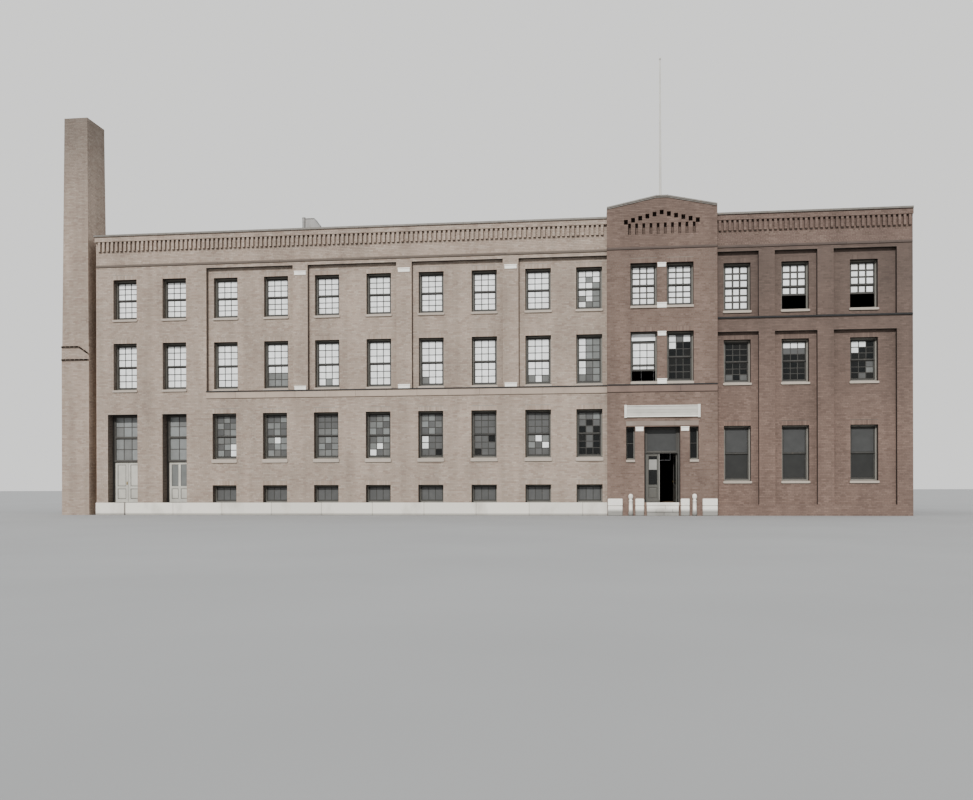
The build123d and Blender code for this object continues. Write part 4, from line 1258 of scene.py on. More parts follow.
@dataclass
class RearWalls:
    """The back wall in two pieces, the left end wall and the plain party wall."""

    split: float = 6.0

    def back(self, name: str, seed: int, low: float, high: float) -> None:
        """Lays one piece of the back wall, and the jambs of the windows whose foot is in it.

        Args:
            name: The piece's name.
            seed: Seeds its random draws.
            low: Its foot.
            high: Its head.
        """
        brickwork, y = Brickwork(seed, ends=False), PLAN.y_back
        brickwork.lay([looking_back(y, PLAN.x_left - PROUD, PLAN.x_right + PROUD, low, high, gaps_of(BACK_WINDOWS))])
        for window in BACK_WINDOWS:
            if low <= window.foot < high:
                brickwork.lay([soldiers(looking_back(y, *window.arch())), *jambs(window.hole(), y - PLAN.reveal, y)])
        brickwork.piece(name, END_BRICK)

    def build(self) -> None:
        """Lays the bricks of the three walls."""
        self.back("back_lower_bricks", 51, 0.0, self.split)
        self.back("back_upper_bricks", 52, self.split, PLAN.z_parapet)
        brickwork, x, inner = Brickwork(61, ends=False), PLAN.x_left, PLAN.x_left + PLAN.reveal
        brickwork.lay([looking_left(x, PLAN.y_face, PLAN.y_back, PLAN.z_base, PLAN.z_parapet, gaps_of(END_WINDOWS))])
        for window in END_WINDOWS:
            near, far, foot, head = window.hole()
            brickwork.lay([soldiers(looking_left(x, *window.arch())), looking_back(near, x, inner, foot, head),
                           front(far, x, inner, foot, head)])
        brickwork.piece("end_wall_bricks", END_BRICK)
        brickwork = Brickwork(67, ends=False)
        brickwork.lay([looking_right(PLAN.x_right, PLAN.y_face, PLAN.y_back, 0.0, PLAN.z_parapet)])
        brickwork.piece("party_wall_bricks", PARTY_BRICK)


@dataclass
class Parapets:
    """The front parapets: frieze, dentils and band, with the pediment between them."""

    dentil_pitch: float = 0.22
    dentil: float = 0.11
    projection: float = 0.11
    band: float = 0.13
    thick: float = 0.38
    slots: int = 10
    slot_foot: float = 12.68
    slot_pitch: float = 0.318
    slot: float = 0.125
    slot_height: float = 0.5
    slot_depth: float = 0.24
    hole: float = 0.17
    hole_height: float = 0.21
    hole_slope: float = 0.25
    hole_rise: float = 0.42

    def wall(self, seed: int, left: float, right: float, name: str, finish: Finish) -> None:
        """Lays one stretch of parapet.

        Args:
            seed: Seeds its random draws.
            left: Its left end.
            right: Its right end.
            name: The piece's name.
            finish: Its bricks' finish.
        """
        count = int((right - left) / self.dentil_pitch)
        start = (left + right - (count - 1) * self.dentil_pitch) / 2
        teeth = [around(start + i * self.dentil_pitch, self.dentil, PLAN.z_dentil, PLAN.z_band) for i in range(count)]
        brickwork, y, out = Brickwork(seed), PLAN.y_face, PLAN.y_face - self.projection
        brickwork.lay([front(y, left, right, PLAN.z_frieze, PLAN.z_band, teeth),
                       front(y - self.band, left, right, PLAN.z_band, PLAN.z_parapet)])
        for tooth in teeth:
            brickwork.lay([front(out, *tooth), looking_left(tooth.left, out, y, *tooth[2:]),
                           looking_right(tooth.right, out, y, *tooth[2:])])
        brickwork.piece(name, finish)

    def pediment(self) -> None:
        """Lays the pediment's bricks round its slots and holes."""
        slots = [around(PLAN.x_centre + (i - (self.slots - 1) / 2) * self.slot_pitch, self.slot, self.slot_foot,
                        self.slot_foot + self.slot_height) for i in range(self.slots)]
        holes = []
        for i in range(self.slots + 1):
            reach = (i - self.slots / 2) * self.slot_pitch
            foot = PLAN.z_band + self.hole_rise - abs(reach) * self.hole_slope - self.hole_height / 2
            holes.append(around(PLAN.x_centre + reach, self.hole, foot, foot + self.hole_height))
        brickwork, y, y_in = Brickwork(83), PLAN.y_pavilion, PLAN.y_pavilion + self.slot_depth
        top, low, high = max(z for _, z in PEDIMENT_RAKE), PLAN.z_string, PEDIMENT_RAKE[0][1]
        brickwork.lay([front(y, PLAN.x_pavilion - PROUD, PLAN.x_wing + PROUD, PLAN.z_frieze, top, slots + holes,
                             roofline=PEDIMENT_RAKE),
                       looking_left(PLAN.x_pavilion, y, PLAN.y_face + self.thick, low, high),
                       looking_right(PLAN.x_wing, y, PLAN.y_face + self.thick, low, high)])
        brickwork.piece("pediment_bricks", PAVILION_BRICK)
        # The holes are lined with near-black brick, painted shade. The slots are lined with brick near the wall's own
        # tone.
        for seed, name, finish, recesses in ((89, "slot_bricks", PALE_SLOT_BRICK, slots),
                                             (97, "hole_bricks", HOLE_SHADE_BRICK, holes)):
            brickwork = Brickwork(seed, relief=0.002)
            for gap in recesses:
                brickwork.lay([*jambs(gap, y, y_in), front(y_in - 0.008, *gap)])
            brickwork.piece(name, finish)

    def build(self) -> None:
        """Lays both parapets and the pediment."""
        self.wall(71, PLAN.x_left - PROUD, PLAN.x_pavilion, "left_parapet_bricks", END_BRICK)
        self.wall(73, PLAN.x_wing, PLAN.x_right + PROUD, "wing_parapet_bricks", WING_PARAPET_BRICK)
        self.pediment()


@dataclass
class Stack:
    """The square stack: a straight base with a ledge, and a shaft that draws in as it rises."""

    x: float = -19.15
    y: float = -4.83
    half_width: float = 0.7
    half_depth: float = 0.92
    inset: float = 0.02
    z_ledge: float = 7.6
    z_shaft: float = 8.23
    z_cap: float = 19.15
    z_top: float = 19.4
    draw_in: float = 0.09
    strip: float = 0.07
    joint: float = 0.008
    ledge_projection: float = 0.06
    ledge_break: float = 0.5
    ledge_fall: float = 0.34

    def sides(self, inset: float, foot: float, head: float, lean: float = 0.0) -> list[Face]:
        """Gives the four faces of a stage.

        Args:
            inset: How far its foot stands in from the base.
            foot: Its foot.
            head: Its head.
            lean: How far each face draws in for each metre.

        Returns:
            The faces.
        """
        x, y, wide, deep = self.x, self.y, self.half_width - inset, self.half_depth - inset
        return [Face(base, along, -half, half, foot, head, lean=lean) for base, along, half in (
            ((x, y - deep), (1.0, 0.0), wide), ((x + wide, y), (0.0, 1.0), deep),
            ((x, y + deep), (-1.0, 0.0), wide), ((x - wide, y), (0.0, -1.0), deep))]

    def ledge(self) -> None:
        """Builds the two strips of the ledge. The upper one slants down at its right end."""
        shape, face = Shape(), self.y - self.half_depth
        left, right, fall = self.x - self.half_width, self.x + self.half_width, self.z_shaft - self.ledge_fall
        for (x_low, x_high), (z_low, z_high), count in (
                ((left, right - self.ledge_break), (self.z_shaft, self.z_shaft), 4),
                ((right - self.ledge_break, right), (self.z_shaft, fall), 2),
                ((left, right), (self.z_ledge, self.z_ledge), 6)):
            xs, slope = np.linspace(x_low, x_high, count + 1), (z_high - z_low) / (x_high - x_low)
            for near, far in zip(xs, xs[1:] - self.joint):
                a, b = z_low + (near - x_low) * slope, z_low + (far - x_low) * slope
                shape.slab([(near, a - self.strip), (far, b - self.strip), (far, b), (near, a)],
                           face - self.ledge_projection, face + 0.02)
        # The strips are near black: painted shade.
        shape.piece("stack_ledge", [LEDGE_SHADE_BRICK], bevel=0.006)

    def build(self) -> None:
        """Lays the stack's bricks and its ledge."""
        brickwork = Brickwork(91)
        brickwork.lay(self.sides(0.0, 0.0, self.z_shaft))
        lean = self.draw_in / (self.z_cap - self.z_shaft)
        brickwork.lay(self.sides(self.inset, self.z_shaft, self.z_cap, lean))
        brickwork.lay(self.sides(self.inset + self.draw_in, self.z_cap, self.z_top))
        brickwork.piece("stack_bricks", STACK_BRICK)
        self.ledge()


# Stone and trim


@dataclass
class StoneBase:
    """The stone base under the left block, in long blocks with one wide open joint."""

    face: float = -5.79
    proud: float = 0.012
    length: float = 2.45
    joint: float = 0.01
    open_joint: float = -16.6
    open_width: float = 0.07

    def build(self) -> None:
        """Builds the facing blocks of the base."""
        shape = Shape()
        end = PLAN.x_left - 0.04
        edges = [end, self.open_joint]
        while edges[-1] + 1.4 * self.length < PLAN.x_pavilion:
            edges.append(edges[-1] + self.length)
        edges.append(PLAN.x_pavilion)
        for left, right in zip(edges, edges[1:]):
            low, high = (edge + way * (self.open_width if edge == self.open_joint else self.joint) / 2
                         for edge, way in ((left, 1), (right, -1)))
            shape.box((low, self.face - self.proud, 0.002), (high, self.face + 0.03, PLAN.z_base - 0.002))
        edges = np.linspace(self.face, PLAN.y_back, 6)
        for low, high in zip(edges, edges[1:]):
            shape.box((end - self.proud, low + self.joint / 2, 0.002), (end + 0.03, high - self.joint / 2, 0.596))
        shape.piece("base_stones", [LIGHT_STONE], bevel=0.012)


@dataclass
class Sills:
    """Stone sills with a sloped top and a drip, one under each window."""

    projection: float = 0.06
    horn: float = 0.035
    rear_depth: float = 0.43

    def profile(self, y: float, top: float, height: float, depth: float) -> list[Pair]:
        """Gives a sill's section: its wash, nose and drip."""
        nose = y - self.projection
        return [(nose, top - height), (nose + 0.025, top - height), (nose + 0.03, top - height + 0.012),
                (nose + 0.045, top - height + 0.012), (nose + 0.05, top - height), (y + depth, top - height),
                (y + depth, top), (nose + 0.012, top - 0.018), (nose, top - 0.03)]

    def build(self) -> None:
        """Builds every sill."""
        shape = Shape()
        for window in LEFT_GROUND + PLAIN_WINDOWS + SUNK_WINDOWS + WING_WINDOWS + TWIN_WINDOWS:
            (left, right, top, _), y, foot = window.hole(), window.wall.y, window.foot - window.sill
            shape.run(self.profile(y, top, window.sill, window.wall.sill), left, right)
            if window.wall is not OUTER:
                nose = [(y - self.projection, foot + 0.012), (y - self.projection, top - 0.03),
                        (y - 0.004, top - 0.018), (y - 0.004, foot + 0.012)]
                shape.run(nose, left - self.horn, left)
                shape.run(nose, right, right + self.horn)
        for left, right, top, _ in SIDE_LIGHTS:
            shape.run(self.profile(OUTER.y, top, SILL, OUTER.sill), left, right)
        shape.piece("front_sills", [SILL_STONE], nodes=["window_sills"])
        rear = Shape()
        half, out, inward = PLAN.window / 2, self.projection, self.rear_depth
        for top, _ in PLAN.storeys:
            for x in PLAN.left_bays + PLAN.twin_bays + PLAN.wing_bays:
                rear.box((x - half, PLAN.y_back - inward, top - SILL), (x + half, PLAN.y_back + out, top))
            for y in PLAN.end_bays:
                rear.box((PLAN.x_left - out, y - half, top - SILL), (PLAN.x_left + inward, y + half, top))
        rear.piece("rear_sills", [SILL_STONE], bevel=0.006)


COURSE_FINISHES = (LEFT_CAST, PAVILION_CAST, WING_STRING_SHADE, PAINTED_SHADE_STRIP, LINTEL_STONE, LEFT_STRING_SHADE, PAVILION_STRING_SHADE)


@dataclass
class Courses:
    """The belt and string courses in long cast blocks, the wing's drip and the entrance lintel."""

    block: float = 1.5
    joint: float = 0.008
    belt: float = 0.05
    lip: float = 0.08
    string: float = 0.045
    drip: float = 0.06

    def lay(self, shape: Shape, section: Sequence[Pair], wall: Wall, start: float, end: float,
            finish: Finish) -> None:
        """Lays a course in blocks of one length.

        Args:
            shape: Takes the blocks.
            section: How far out of the wall and how high each corner of its section is.
            wall: The wall that it is on.
            start: Its left end.
            end: Its right end.
            finish: Its finish.
        """
        edges = np.linspace(start, end, max(1, round((end - start) / self.block)) + 1)
        for left, right in zip(edges, edges[1:]):
            shape.run([(wall.y - out, z) for out, z in section], left + self.joint / 2, right - self.joint / 2,
                      COURSE_FINISHES.index(finish))

    def build(self) -> None:
        """Builds the courses."""
        foot, head, under, out = PLAN.z_belt, PLAN.z_belt_head, PLAN.z_belt_head - 0.04, self.belt
        belt = [(-0.01, foot), (-0.01, under), (out, under), (out, foot + 0.012), (out - 0.012, foot)]
        out = self.lip
        lip = [(-0.01, under), (-0.01, head), (out - 0.015, head), (out, head - 0.012), (out, under - 0.012),
               (out - 0.01, under - 0.012), (out - 0.015, under)]
        foot, head, out = PLAN.z_string, PLAN.z_frieze, self.string
        string = [(-0.01, foot), (-0.01, head), (0.02, head), (out, head - 0.03), (out, foot + 0.02),
                  (out - 0.02, foot)]
        foot, head, out = PLAN.wing_belt_head - 0.09, PLAN.wing_belt_head, self.drip
        drip = [(-0.01, foot), (out - 0.01, foot), (out, foot + 0.02), (out, head - 0.03), (0.02, head), (-0.01, head)]
        shape = Shape()
        left = (FLUSH, PLAN.left_panels[0][0], PLAN.x_pavilion)
        middle, right = (OUTER, PLAN.x_pavilion, PLAN.x_wing), (FLUSH, PLAN.x_wing, PLAN.x_right)
        # The lips, the wing's drip and the strings take dark finishes: painted shade for their shadow lines.
        for section, place, finish in (
                (belt, left, LEFT_CAST), (belt, middle, PAVILION_CAST), (lip, left, PAINTED_SHADE_STRIP), (lip, middle, PAINTED_SHADE_STRIP),
                (string, (FLUSH, PLAN.x_left, PLAN.x_pavilion), LEFT_STRING_SHADE), (string, middle, PAVILION_STRING_SHADE),
                (string, right, WING_STRING_SHADE), (drip, right, PAINTED_SHADE_STRIP)):
            self.lay(shape, section, *place, finish)
        lintel = [(OUTER.y - out, z) for out, z in ((-0.01, 4.05), (0.02, 4.05), (0.03, 4.06), (0.03, 4.24),
                                                    (0.02, 4.25), (-0.01, 4.25))]
        for start, end in ((7.4, 8.47), (8.47, 9.55), (9.55, 10.62)):
            shape.run(lintel, start + 0.003, end - 0.003, COURSE_FINISHES.index(LINTEL_STONE))
        shape.piece("wall_courses", COURSE_FINISHES, nodes=["stone_courses"])


@dataclass
class StoneBlocks:
    """The stone blocks of the plinth, the piers and the pilasters."""

    def build(self) -> None:
        """Builds every block, those that stand on the ground with a rougher edge."""
        rough, fine = Shape(), Shape()
        for left, right, foot, head, y, out in PILASTER_BLOCKS + PAVILION_BLOCKS:
            near, far = y - out, y + 0.01
            if foot == 0.0:
                for low, high in ((0.001, 0.44), (0.45, head)):
                    rough.box((left + 0.01, near, low), (right - 0.01, far, high))
                continue
            fine.box((left, near, foot), (right, far, head - 0.055))
            fine.box((left - 0.012, near - 0.012, head - 0.05), (right + 0.012, far, head))
        rough.piece("plinth_blocks", [PLINTH_STONE], nodes=["stone_blocks"], bevel=0.022)
        fine.piece("pier_blocks", [WHITE_STONE], bevel=0.006)


# Windows


@dataclass
class SashWindow:
    """A box frame with two sashes of nine panes, the upper one in front of the lower."""

    frame: float = 0.07
    depth: float = 0.13
    stile: float = 0.055
    rail: float = 0.07
    bottom_rail: float = 0.085
    thick: float = 0.036
    putty: float = 0.006
    bead: float = 0.018
    overlap: float = 0.018

    def build(self, joinery: Shape, panes: dict[Pane, Shape], opening: Opening, y: float) -> None:
        """Adds one window that looks out of the front.

        Args:
            joinery: Takes the frame and the sashes.
            panes: Takes the glass, by how it looks.
            opening: The window's opening.
            y: The face of its frame.
        """
        hole, glazing = opening.hole(), opening.glazing
        span = joinery.ring(hole, y, y + self.depth, self.frame, (self.frame * 0.7, -0.012), (self.frame, 0.0),
                            opening.frame)
        for left in (hole.left, hole.right - 0.03):
            joinery.box((left, y - self.bead, hole.foot), (left + 0.03, y, hole.head - 0.03), opening.frame)
        joinery.box((hole.left, y - self.bead, hole.head - 0.03), (hole.right, y, hole.head), opening.frame)
        left, right, low, high = span
        middle, drop, lift = (low + high) / 2, glazing.lowered, glazing.raised
        self.sash(joinery, panes, (left, right, middle - self.overlap - drop, high - drop), y + 0.03, glazing.upper,
                  glazing.bar, self.rail)
        if drop:
            # A pale blind behind the lowered upper sash, in the pale pane finish.
            panes[Pane.PALE].box((left, y + 0.025, high - drop + 0.05), (right, y + 0.029, high))
        self.sash(joinery, panes, (left, right, low + lift, middle + self.overlap + lift), y + 0.072, glazing.lower,
                  glazing.bar, self.bottom_rail)

    def sash(self, joinery: Shape, panes: dict[Pane, Shape], span: Span, y: float, looks: str, bar: float,
             foot_rail: float) -> None:
        """Adds one sash.

        Args:
            joinery: Takes its stiles, rails and bars.
            panes: Takes its glass.
            span: Its left, right, foot and head.
            y: Its front face.
            looks: One word for each row of panes, from the top.
            bar: How wide its bars are.
            foot_rail: How high its lowest rail is.
        """
        left, right, foot, head = span
        back = y + self.thick
        for start in (left, right - self.stile):
            joinery.box((start, y, foot), (start + self.stile, back, head))
        left, right = left + self.stile, right - self.stile
        for low, high in ((foot, foot + foot_rail), (head - self.rail, head)):
            joinery.box((left, y + 0.001, low), (right, back, high))
        foot, head = foot + foot_rail, head - self.rail
        words = looks.split()
        columns, rows = len(words[0]), len(words)
        wide, tall = (right - left) / columns, (head - foot) / rows
        for x in (left + i * wide for i in range(1, columns)):
            joinery.box((x - bar / 2, y + 0.003, foot), (x + bar / 2, back - 0.003, head))
        for z in (foot + i * tall for i in range(1, rows)):
            joinery.box((left, y + 0.005, z - bar / 2), (right, back - 0.005, z + bar / 2))
        for i, word in enumerate(words):
            for j, letter in enumerate(word):
                x, z = left + j * wide, head - (i + 1) * tall
                panes[Pane(letter)].box((x + self.putty, y + 0.014, z + self.putty),
                                        (x + wide - self.putty, y + 0.018, z + tall - self.putty))


@dataclass
class Windows:
    """All windows of the building, storey by storey."""

    window: SashWindow = field(default_factory=SashWindow)

    def build(self) -> None:
        """Builds the joinery of each storey, and the panes by their look."""
        panes = {look: Shape() for look in Pane}
        for storey, windows in (("ground", LEFT_GROUND + WING_GROUND),
                                ("second", LEFT_SECOND + TWIN_SECOND + WING_SECOND),
                                ("third", LEFT_THIRD + TWIN_THIRD + WING_THIRD)):
            joinery = Shape()
            for opening in windows:
                self.window.build(joinery, panes, opening, opening.wall.y + opening.wall.reveal)
            if storey == "ground":
                self.side_lights(joinery, panes)
            joinery.piece(f"{storey}_sashes", WINDOW_PAINTS, nodes=[f"{storey}_windows"], bevel=0.004)
        joinery = Shape()
        for opening in BASEMENT:
            self.basement(joinery, panes, opening)
        joinery.piece("basement_sashes", WINDOW_PAINTS, nodes=["basement_windows"], bevel=0.004)
        self.rear(panes)
        for look, shape in panes.items():
            nodes = ["window_glass"] if look is Pane.PALE else []
            if shape.count:
                shape.piece(look.name.lower() + "_panes", [PANE_FINISHES[look]], nodes=nodes)

    def side_lights(self, joinery: Shape, panes: dict[Pane, Shape]) -> None:
        """Adds the two narrow windows beside the entrance."""
        y = OUTER.y + OUTER.reveal
        for light in SIDE_LIGHTS:
            left, right, foot, head = joinery.ring(light, y, y + self.window.depth, 0.06, (0.06, 0.0), (0.06, 0.0),
                                                   FrameMark.PLAIN)
            joinery.box((left, y + 0.03, 3.25), (right, y + 0.1, 3.29))
            panes[Pane.DARK].box((left, y + 0.05, foot - 0.005), (right, y + 0.054, head + 0.01))

    def basement(self, joinery: Shape, panes: dict[Pane, Shape], opening: Opening) -> None:
        """Adds one low basement window: a single sash of three panes."""
        y = opening.wall.y + opening.wall.reveal
        frame = self.window.frame
        span = joinery.ring(opening.hole(), y, y + self.window.depth, frame, (frame, 0.0), (frame, 0.0),
                            opening.frame)
        left, right, foot, head = joinery.ring(span, y + 0.03, y + 0.07, 0.05, (0.06, 0.0), (0.05, 0.0))
        wide = (right - left) / 3
        for x in (left + wide, left + 2 * wide):
            joinery.box((x - 0.014, y + 0.033, foot), (x + 0.014, y + 0.067, head))
        for x in (left, left + wide, left + 2 * wide):
            panes[Pane.MURKY].box((x + 0.005, y + 0.045, foot - 0.01), (x + wide - 0.005, y + 0.049, head + 0.01))

    def rear(self, panes: dict[Pane, Shape]) -> None:
        """Builds the windows of the back and the left end, turned to look outward."""
        joinery = Shape()
        for openings, turn, at in ((BACK_WINDOWS, turn_to_back, PLAN.y_back - PLAN.reveal),
                                   (END_WINDOWS, turn_to_end, PLAN.x_left + PLAN.reveal)):
            frames, glass = Shape(), {look: Shape() for look in Pane}
            for opening in openings:
                self.window.build(frames, glass, opening, 0.0)
            turn(frames, at)
            joinery.merge(frames)
            for look, shape in glass.items():
                turn(shape, at)
                panes[look].merge(shape)
        joinery.piece("rear_sashes", WINDOW_PAINTS[:2], nodes=["rear_windows"])


def turn_to_back(shape: Shape, y: float) -> None:
    """Turns what was built to look out of the front at depth 0, so that it looks out of the back at depth y."""
    for corners in shape.corners:
        corners[:, 1] = y - corners[:, 1]
    shape.flip()


def turn_to_end(shape: Shape, x: float) -> None:
    """Turns what was built to look out of the front at depth 0, so that it looks out of the left end at x."""
    for corners in shape.corners:
        corners[:, [0, 1]] = np.stack([x + corners[:, 1], corners[:, 0]], 1)
    shape.flip()


# Doors and the entrance


@dataclass(frozen=True)
class Doorway:
    """A doorway's frame: its middle, width, head, inner face, leaf height and the lights over its leaves."""

    at: float
    width: float
    head: float
    y_in: float
    leaf_height: float
    lights: tuple[Pair, ...]
    columns: int
    rows: int


DOORWAYS = (
    Doorway(-16.715, 1.52, 4.86, -5.15, 1.97, ((2.68, 3.71), (3.82, 4.75)), 3, 2),
    Doorway(-14.08, 1.23, 4.86, -5.15, 1.97, ((2.68, 3.71), (3.82, 4.75)), 2, 2),
    Doorway(9.01, 1.6, 4.01, -5.5, 2.22, ((2.93, 3.9),), 1, 1),
)


@dataclass
class DoorFrames:
    """The jambs, rails and lights round the door leaves."""

    jamb: float = 0.09
    depth: float = 0.11
    side: float = 0.055
    rail: float = 0.11
    bar: float = 0.03
    stop: float = 0.016
    bead: float = 0.026
    block: float = 0.07
    block_height: float = 0.2

    def build(self) -> None:
        """Builds the three frames and their glass."""
        frames, glass = Shape(), Shape()
        for door in DOORWAYS:
            self.jambs(frames, door)
            self.lights(frames, glass, door)
        frames.piece("door_frames", [DOOR_FRAME_PAINT], nodes=["door_jambs", "door_transoms"], bevel=0.004)
        glass.piece("door_frame_glass", [DOOR_GLASS, PANE_FINISHES[Pane.HAZY]], nodes=["transom_glass"])

    def jambs(self, frames: Shape, door: Doorway) -> None:
        """Adds both jambs of a doorway, each with a foot block and a bead along its edge."""
        near, foot, block = door.y_in - self.depth, PLAN.z_base, PLAN.z_base + self.block_height
        for side in (-1, 1):
            outer = door.at + side * door.width / 2
            frames.box((outer, near, foot), (outer - side * self.jamb, door.y_in, door.head))
            frames.box((outer, near - 0.014, foot), (outer - side * self.block, near, block))
            frames.box((outer, near - 0.01, block), (outer - side * self.bead, near, door.head))

    def lights(self, frames: Shape, glass: Shape, door: Doorway) -> None:
        """Adds the rails over a doorway's leaves, with the panes and bars of its lights."""
        near, far, foot = door.y_in - self.depth, door.y_in, PLAN.z_base + door.leaf_height
        half = door.width / 2 - self.jamb
        for side in (-1, 1):
            edge = door.at + side * half
            frames.box((edge, near, foot), (edge - side * self.side, far, door.head))
        left, right = door.at - half + self.side, door.at + half - self.side
        for low in (foot, *(head for _, head in door.lights)):
            high = low + self.rail
            frames.run([(near, low), (far, low), (far, high), (near, high), (near - 0.012, high - 0.02),
                        (near - 0.012, low + 0.045), (near, low + 0.03)], left, right)
        y, bar = (near + far) / 2, self.bar / 2
        for low, high in door.lights:
            wide, tall = (right - left) / door.columns, (high - low) / door.rows
            for x in (left + i * wide for i in range(1, door.columns)):
                frames.box((x - bar, y - 0.02, low), (x + bar, y + 0.02, high))
            for z in (low + i * tall for i in range(1, door.rows)):
                frames.box((left, y - 0.018, z - bar), (right, y + 0.018, z + bar))
            for edge, inner in ((left, left + self.stop), (right, right - self.stop)):
                frames.box((edge, y - 0.03, low), (inner, y + 0.02, high))
            for x in (left + i * wide for i in range(door.columns)):
                for z in (low + i * tall for i in range(door.rows)):
                    glass.box((x + 0.004, y - 0.003, z + 0.004), (x + wide - 0.004, y + 0.003, z + tall - 0.004),
                              int(door.columns == 1))


# How far the leaves hang over the thresholds, and the radius of their hinges' knuckles.
LEAF_GAP = 0.008
KNUCKLE_RADIUS = 0.0118


class LeafMark(IntEnum):
    """Which of a leaf's finishes a part of it takes, where that isn't its own paint."""

    IRON = 1
    BRASS = 2
    CARD_AND_HIGHLIGHT = 3
    SHADED_GROOVE = 4


@dataclass(frozen=True)
class Leaf:
    """A framed and panelled door leaf. It is built closed, and turned to how it stands at rest."""

    body: str
    nodes: tuple[str, ...]
    axis: Pair
    side: int
    width: float
    height: float
    finish: Finish
    columns: int = 1
    glazed: bool = False
    knob: bool = True
    angle: float = 0.0
    stile: float = 0.11
    foot_rail: float = 0.165
    lock_rail: float = 0.78
    back: float = 0.014
    face: float = 0.062
    sink: float = 0.0115
    knuckle: float = 0.06
    inset: float = 0.25

    def place(self, shape: Shape) -> None:
        """Mirrors and turns what was built from the hinge axis outward, and sets it on the axis."""
        turn = math.radians(self.angle)
        for corners in shape.corners:
            x, y = corners[:, 0] * self.side, corners[:, 1].copy()
            corners[:, 0] = self.axis[0] + x * math.cos(turn) - y * math.sin(turn)
            corners[:, 1] = self.axis[1] + x * math.sin(turn) + y * math.cos(turn)
            corners[:, 2] += PLAN.z_base + LEAF_GAP
        if self.side < 0:
            shape.flip()

    def rings(self, shape: Shape, span: Span, steps: Sequence[Pair], out: bool, closed: bool) -> None:
        """Adds a moulding that runs round a field, step by step inward, with painted shade in its groove.

        Args:
            shape: Takes it.
            span: The field's near side, far side, foot and head.
            steps: How far in each step is, and its depth out from the hinge axis.
            out: Whether it faces outward.
            closed: Whether the last step is filled in.
        """
        low, high, foot, head = span
        corners = [(x, -depth, z) for inset, depth in steps
                   for x, z in ((low + inset, foot + inset), (high - inset, foot + inset),
                                (high - inset, head - inset), (low + inset, head - inset))]
        last = 4 * len(steps) - 4
        faces = [(k + c, k + (c + 1) % 4, k + 4 + (c + 1) % 4, k + 4 + c) for k in range(0, last, 4) for c in range(4)]
        if closed:
            faces.append((last, last + 1, last + 2, last + 3))
        first = len(shape.marks)
        shape.add(np.array(corners), faces if out else [face[::-1] for face in faces])
        # Painted shade: the groove's faces take the dark door frame paint.
        shape.marks[first + 4:first + 12] = [LeafMark.SHADED_GROOVE] * 8

    def field(self, shape: Shape, glass: Shape, span: Span, glazed: bool) -> None:
        """Fills one field with a raised panel, or with glass in a bead."""
        middle = (self.back + self.face) / 2
        for out, face, way in ((True, self.face, -1), (False, self.back, 1)):
            sunk = face + way * self.sink
            panel = ((0.0, face), (0.006, face + way * 0.002), (0.014, sunk), (0.03, sunk),
                     (0.034, sunk - way * 0.002), (0.075, sunk - way * 0.008))
            bead = ((0.0, face), (0.006, face + way * 0.003), (0.016, face + way * 0.014),
                    (0.018, middle - way * 0.003))
            self.rings(shape, span, bead if glazed else panel, out, not glazed)
        if glazed:
            low, high, foot, head = span
            glass.box((low, -middle - 0.003, foot), (high, -middle + 0.003, head))

    def hardware(self, shape: Shape) -> None:
        """Adds the knuckles with their straps, the lock plate and the knobs."""
        for height in (self.inset, self.height - self.inset):
            low, high = height - self.knuckle / 2, height + self.knuckle / 2
            shape.turned((0.0, 0.0), [(KNUCKLE_RADIUS, low), (KNUCKLE_RADIUS, high - 0.004), (0.009, high)], 20,
                         LeafMark.IRON)
            shape.box((0.0, -self.back - 0.0005, low), (0.05, -self.back + 0.004, high), LeafMark.IRON)
        if not self.knob:
            return
        x, height = self.width - self.stile / 2 + 0.004, 0.94
        for depth, way in ((self.face, -1), (self.back, 1)):
            shape.box((x - 0.025, -depth, height - 0.09), (x + 0.025, -depth + way * 0.003, height + 0.07),
                      LeafMark.BRASS)
            knob = Shape()
            knob.turned((0.0, 0.0), [(0.01, 0.0), (0.009, 0.018), (0.02, 0.026), (0.026, 0.038), (0.022, 0.048),
                                     (0.008, 0.053)], 20)
            corners = knob.corners[0]
            turned = np.stack([x + corners[:, 0], -depth + way * corners[:, 2], height - way * corners[:, 1]], 1)
            shape.add(turned, knob.faces, LeafMark.BRASS)

    def build(self) -> None:
        """Builds the leaf, and its glass if it has some."""
        shape, glass, stile, end, face = Shape(), Shape(), self.stile, self.width - self.stile, self.face
        top, lock = self.height - stile, self.lock_rail - stile
        wide = (end - self.columns * stile) / self.columns

        def slat(low: float, high: float, foot: float, head: float) -> None:
            """Adds one stile or rail of the leaf's full thickness."""
            shape.box((0.004 + low, -face, foot), (0.004 + high, -self.back, head))

        slat(0.0, stile, 0.0, self.height)
        slat(end, self.width, 0.0, self.height)
        for foot, head in ((0.0, self.foot_rail), (lock, self.lock_rail), (top, self.height)):
            slat(stile, end, foot, head)
        for foot, head, glazed in ((self.foot_rail, lock, False), (self.lock_rail, top, self.glazed)):
            for low in (stile + i * (wide + stile) for i in range(self.columns)):
                if low > stile:
                    slat(low - stile, low, foot, head)
                self.field(shape, glass, (0.004 + low, 0.004 + low + wide, foot, head), glazed)
        shape.box((0.03, -face - 0.004, 0.012), (self.width - 0.022, -face, 0.1))
        self.hardware(shape)
        if self.body == "entrance_narrow_leaf":
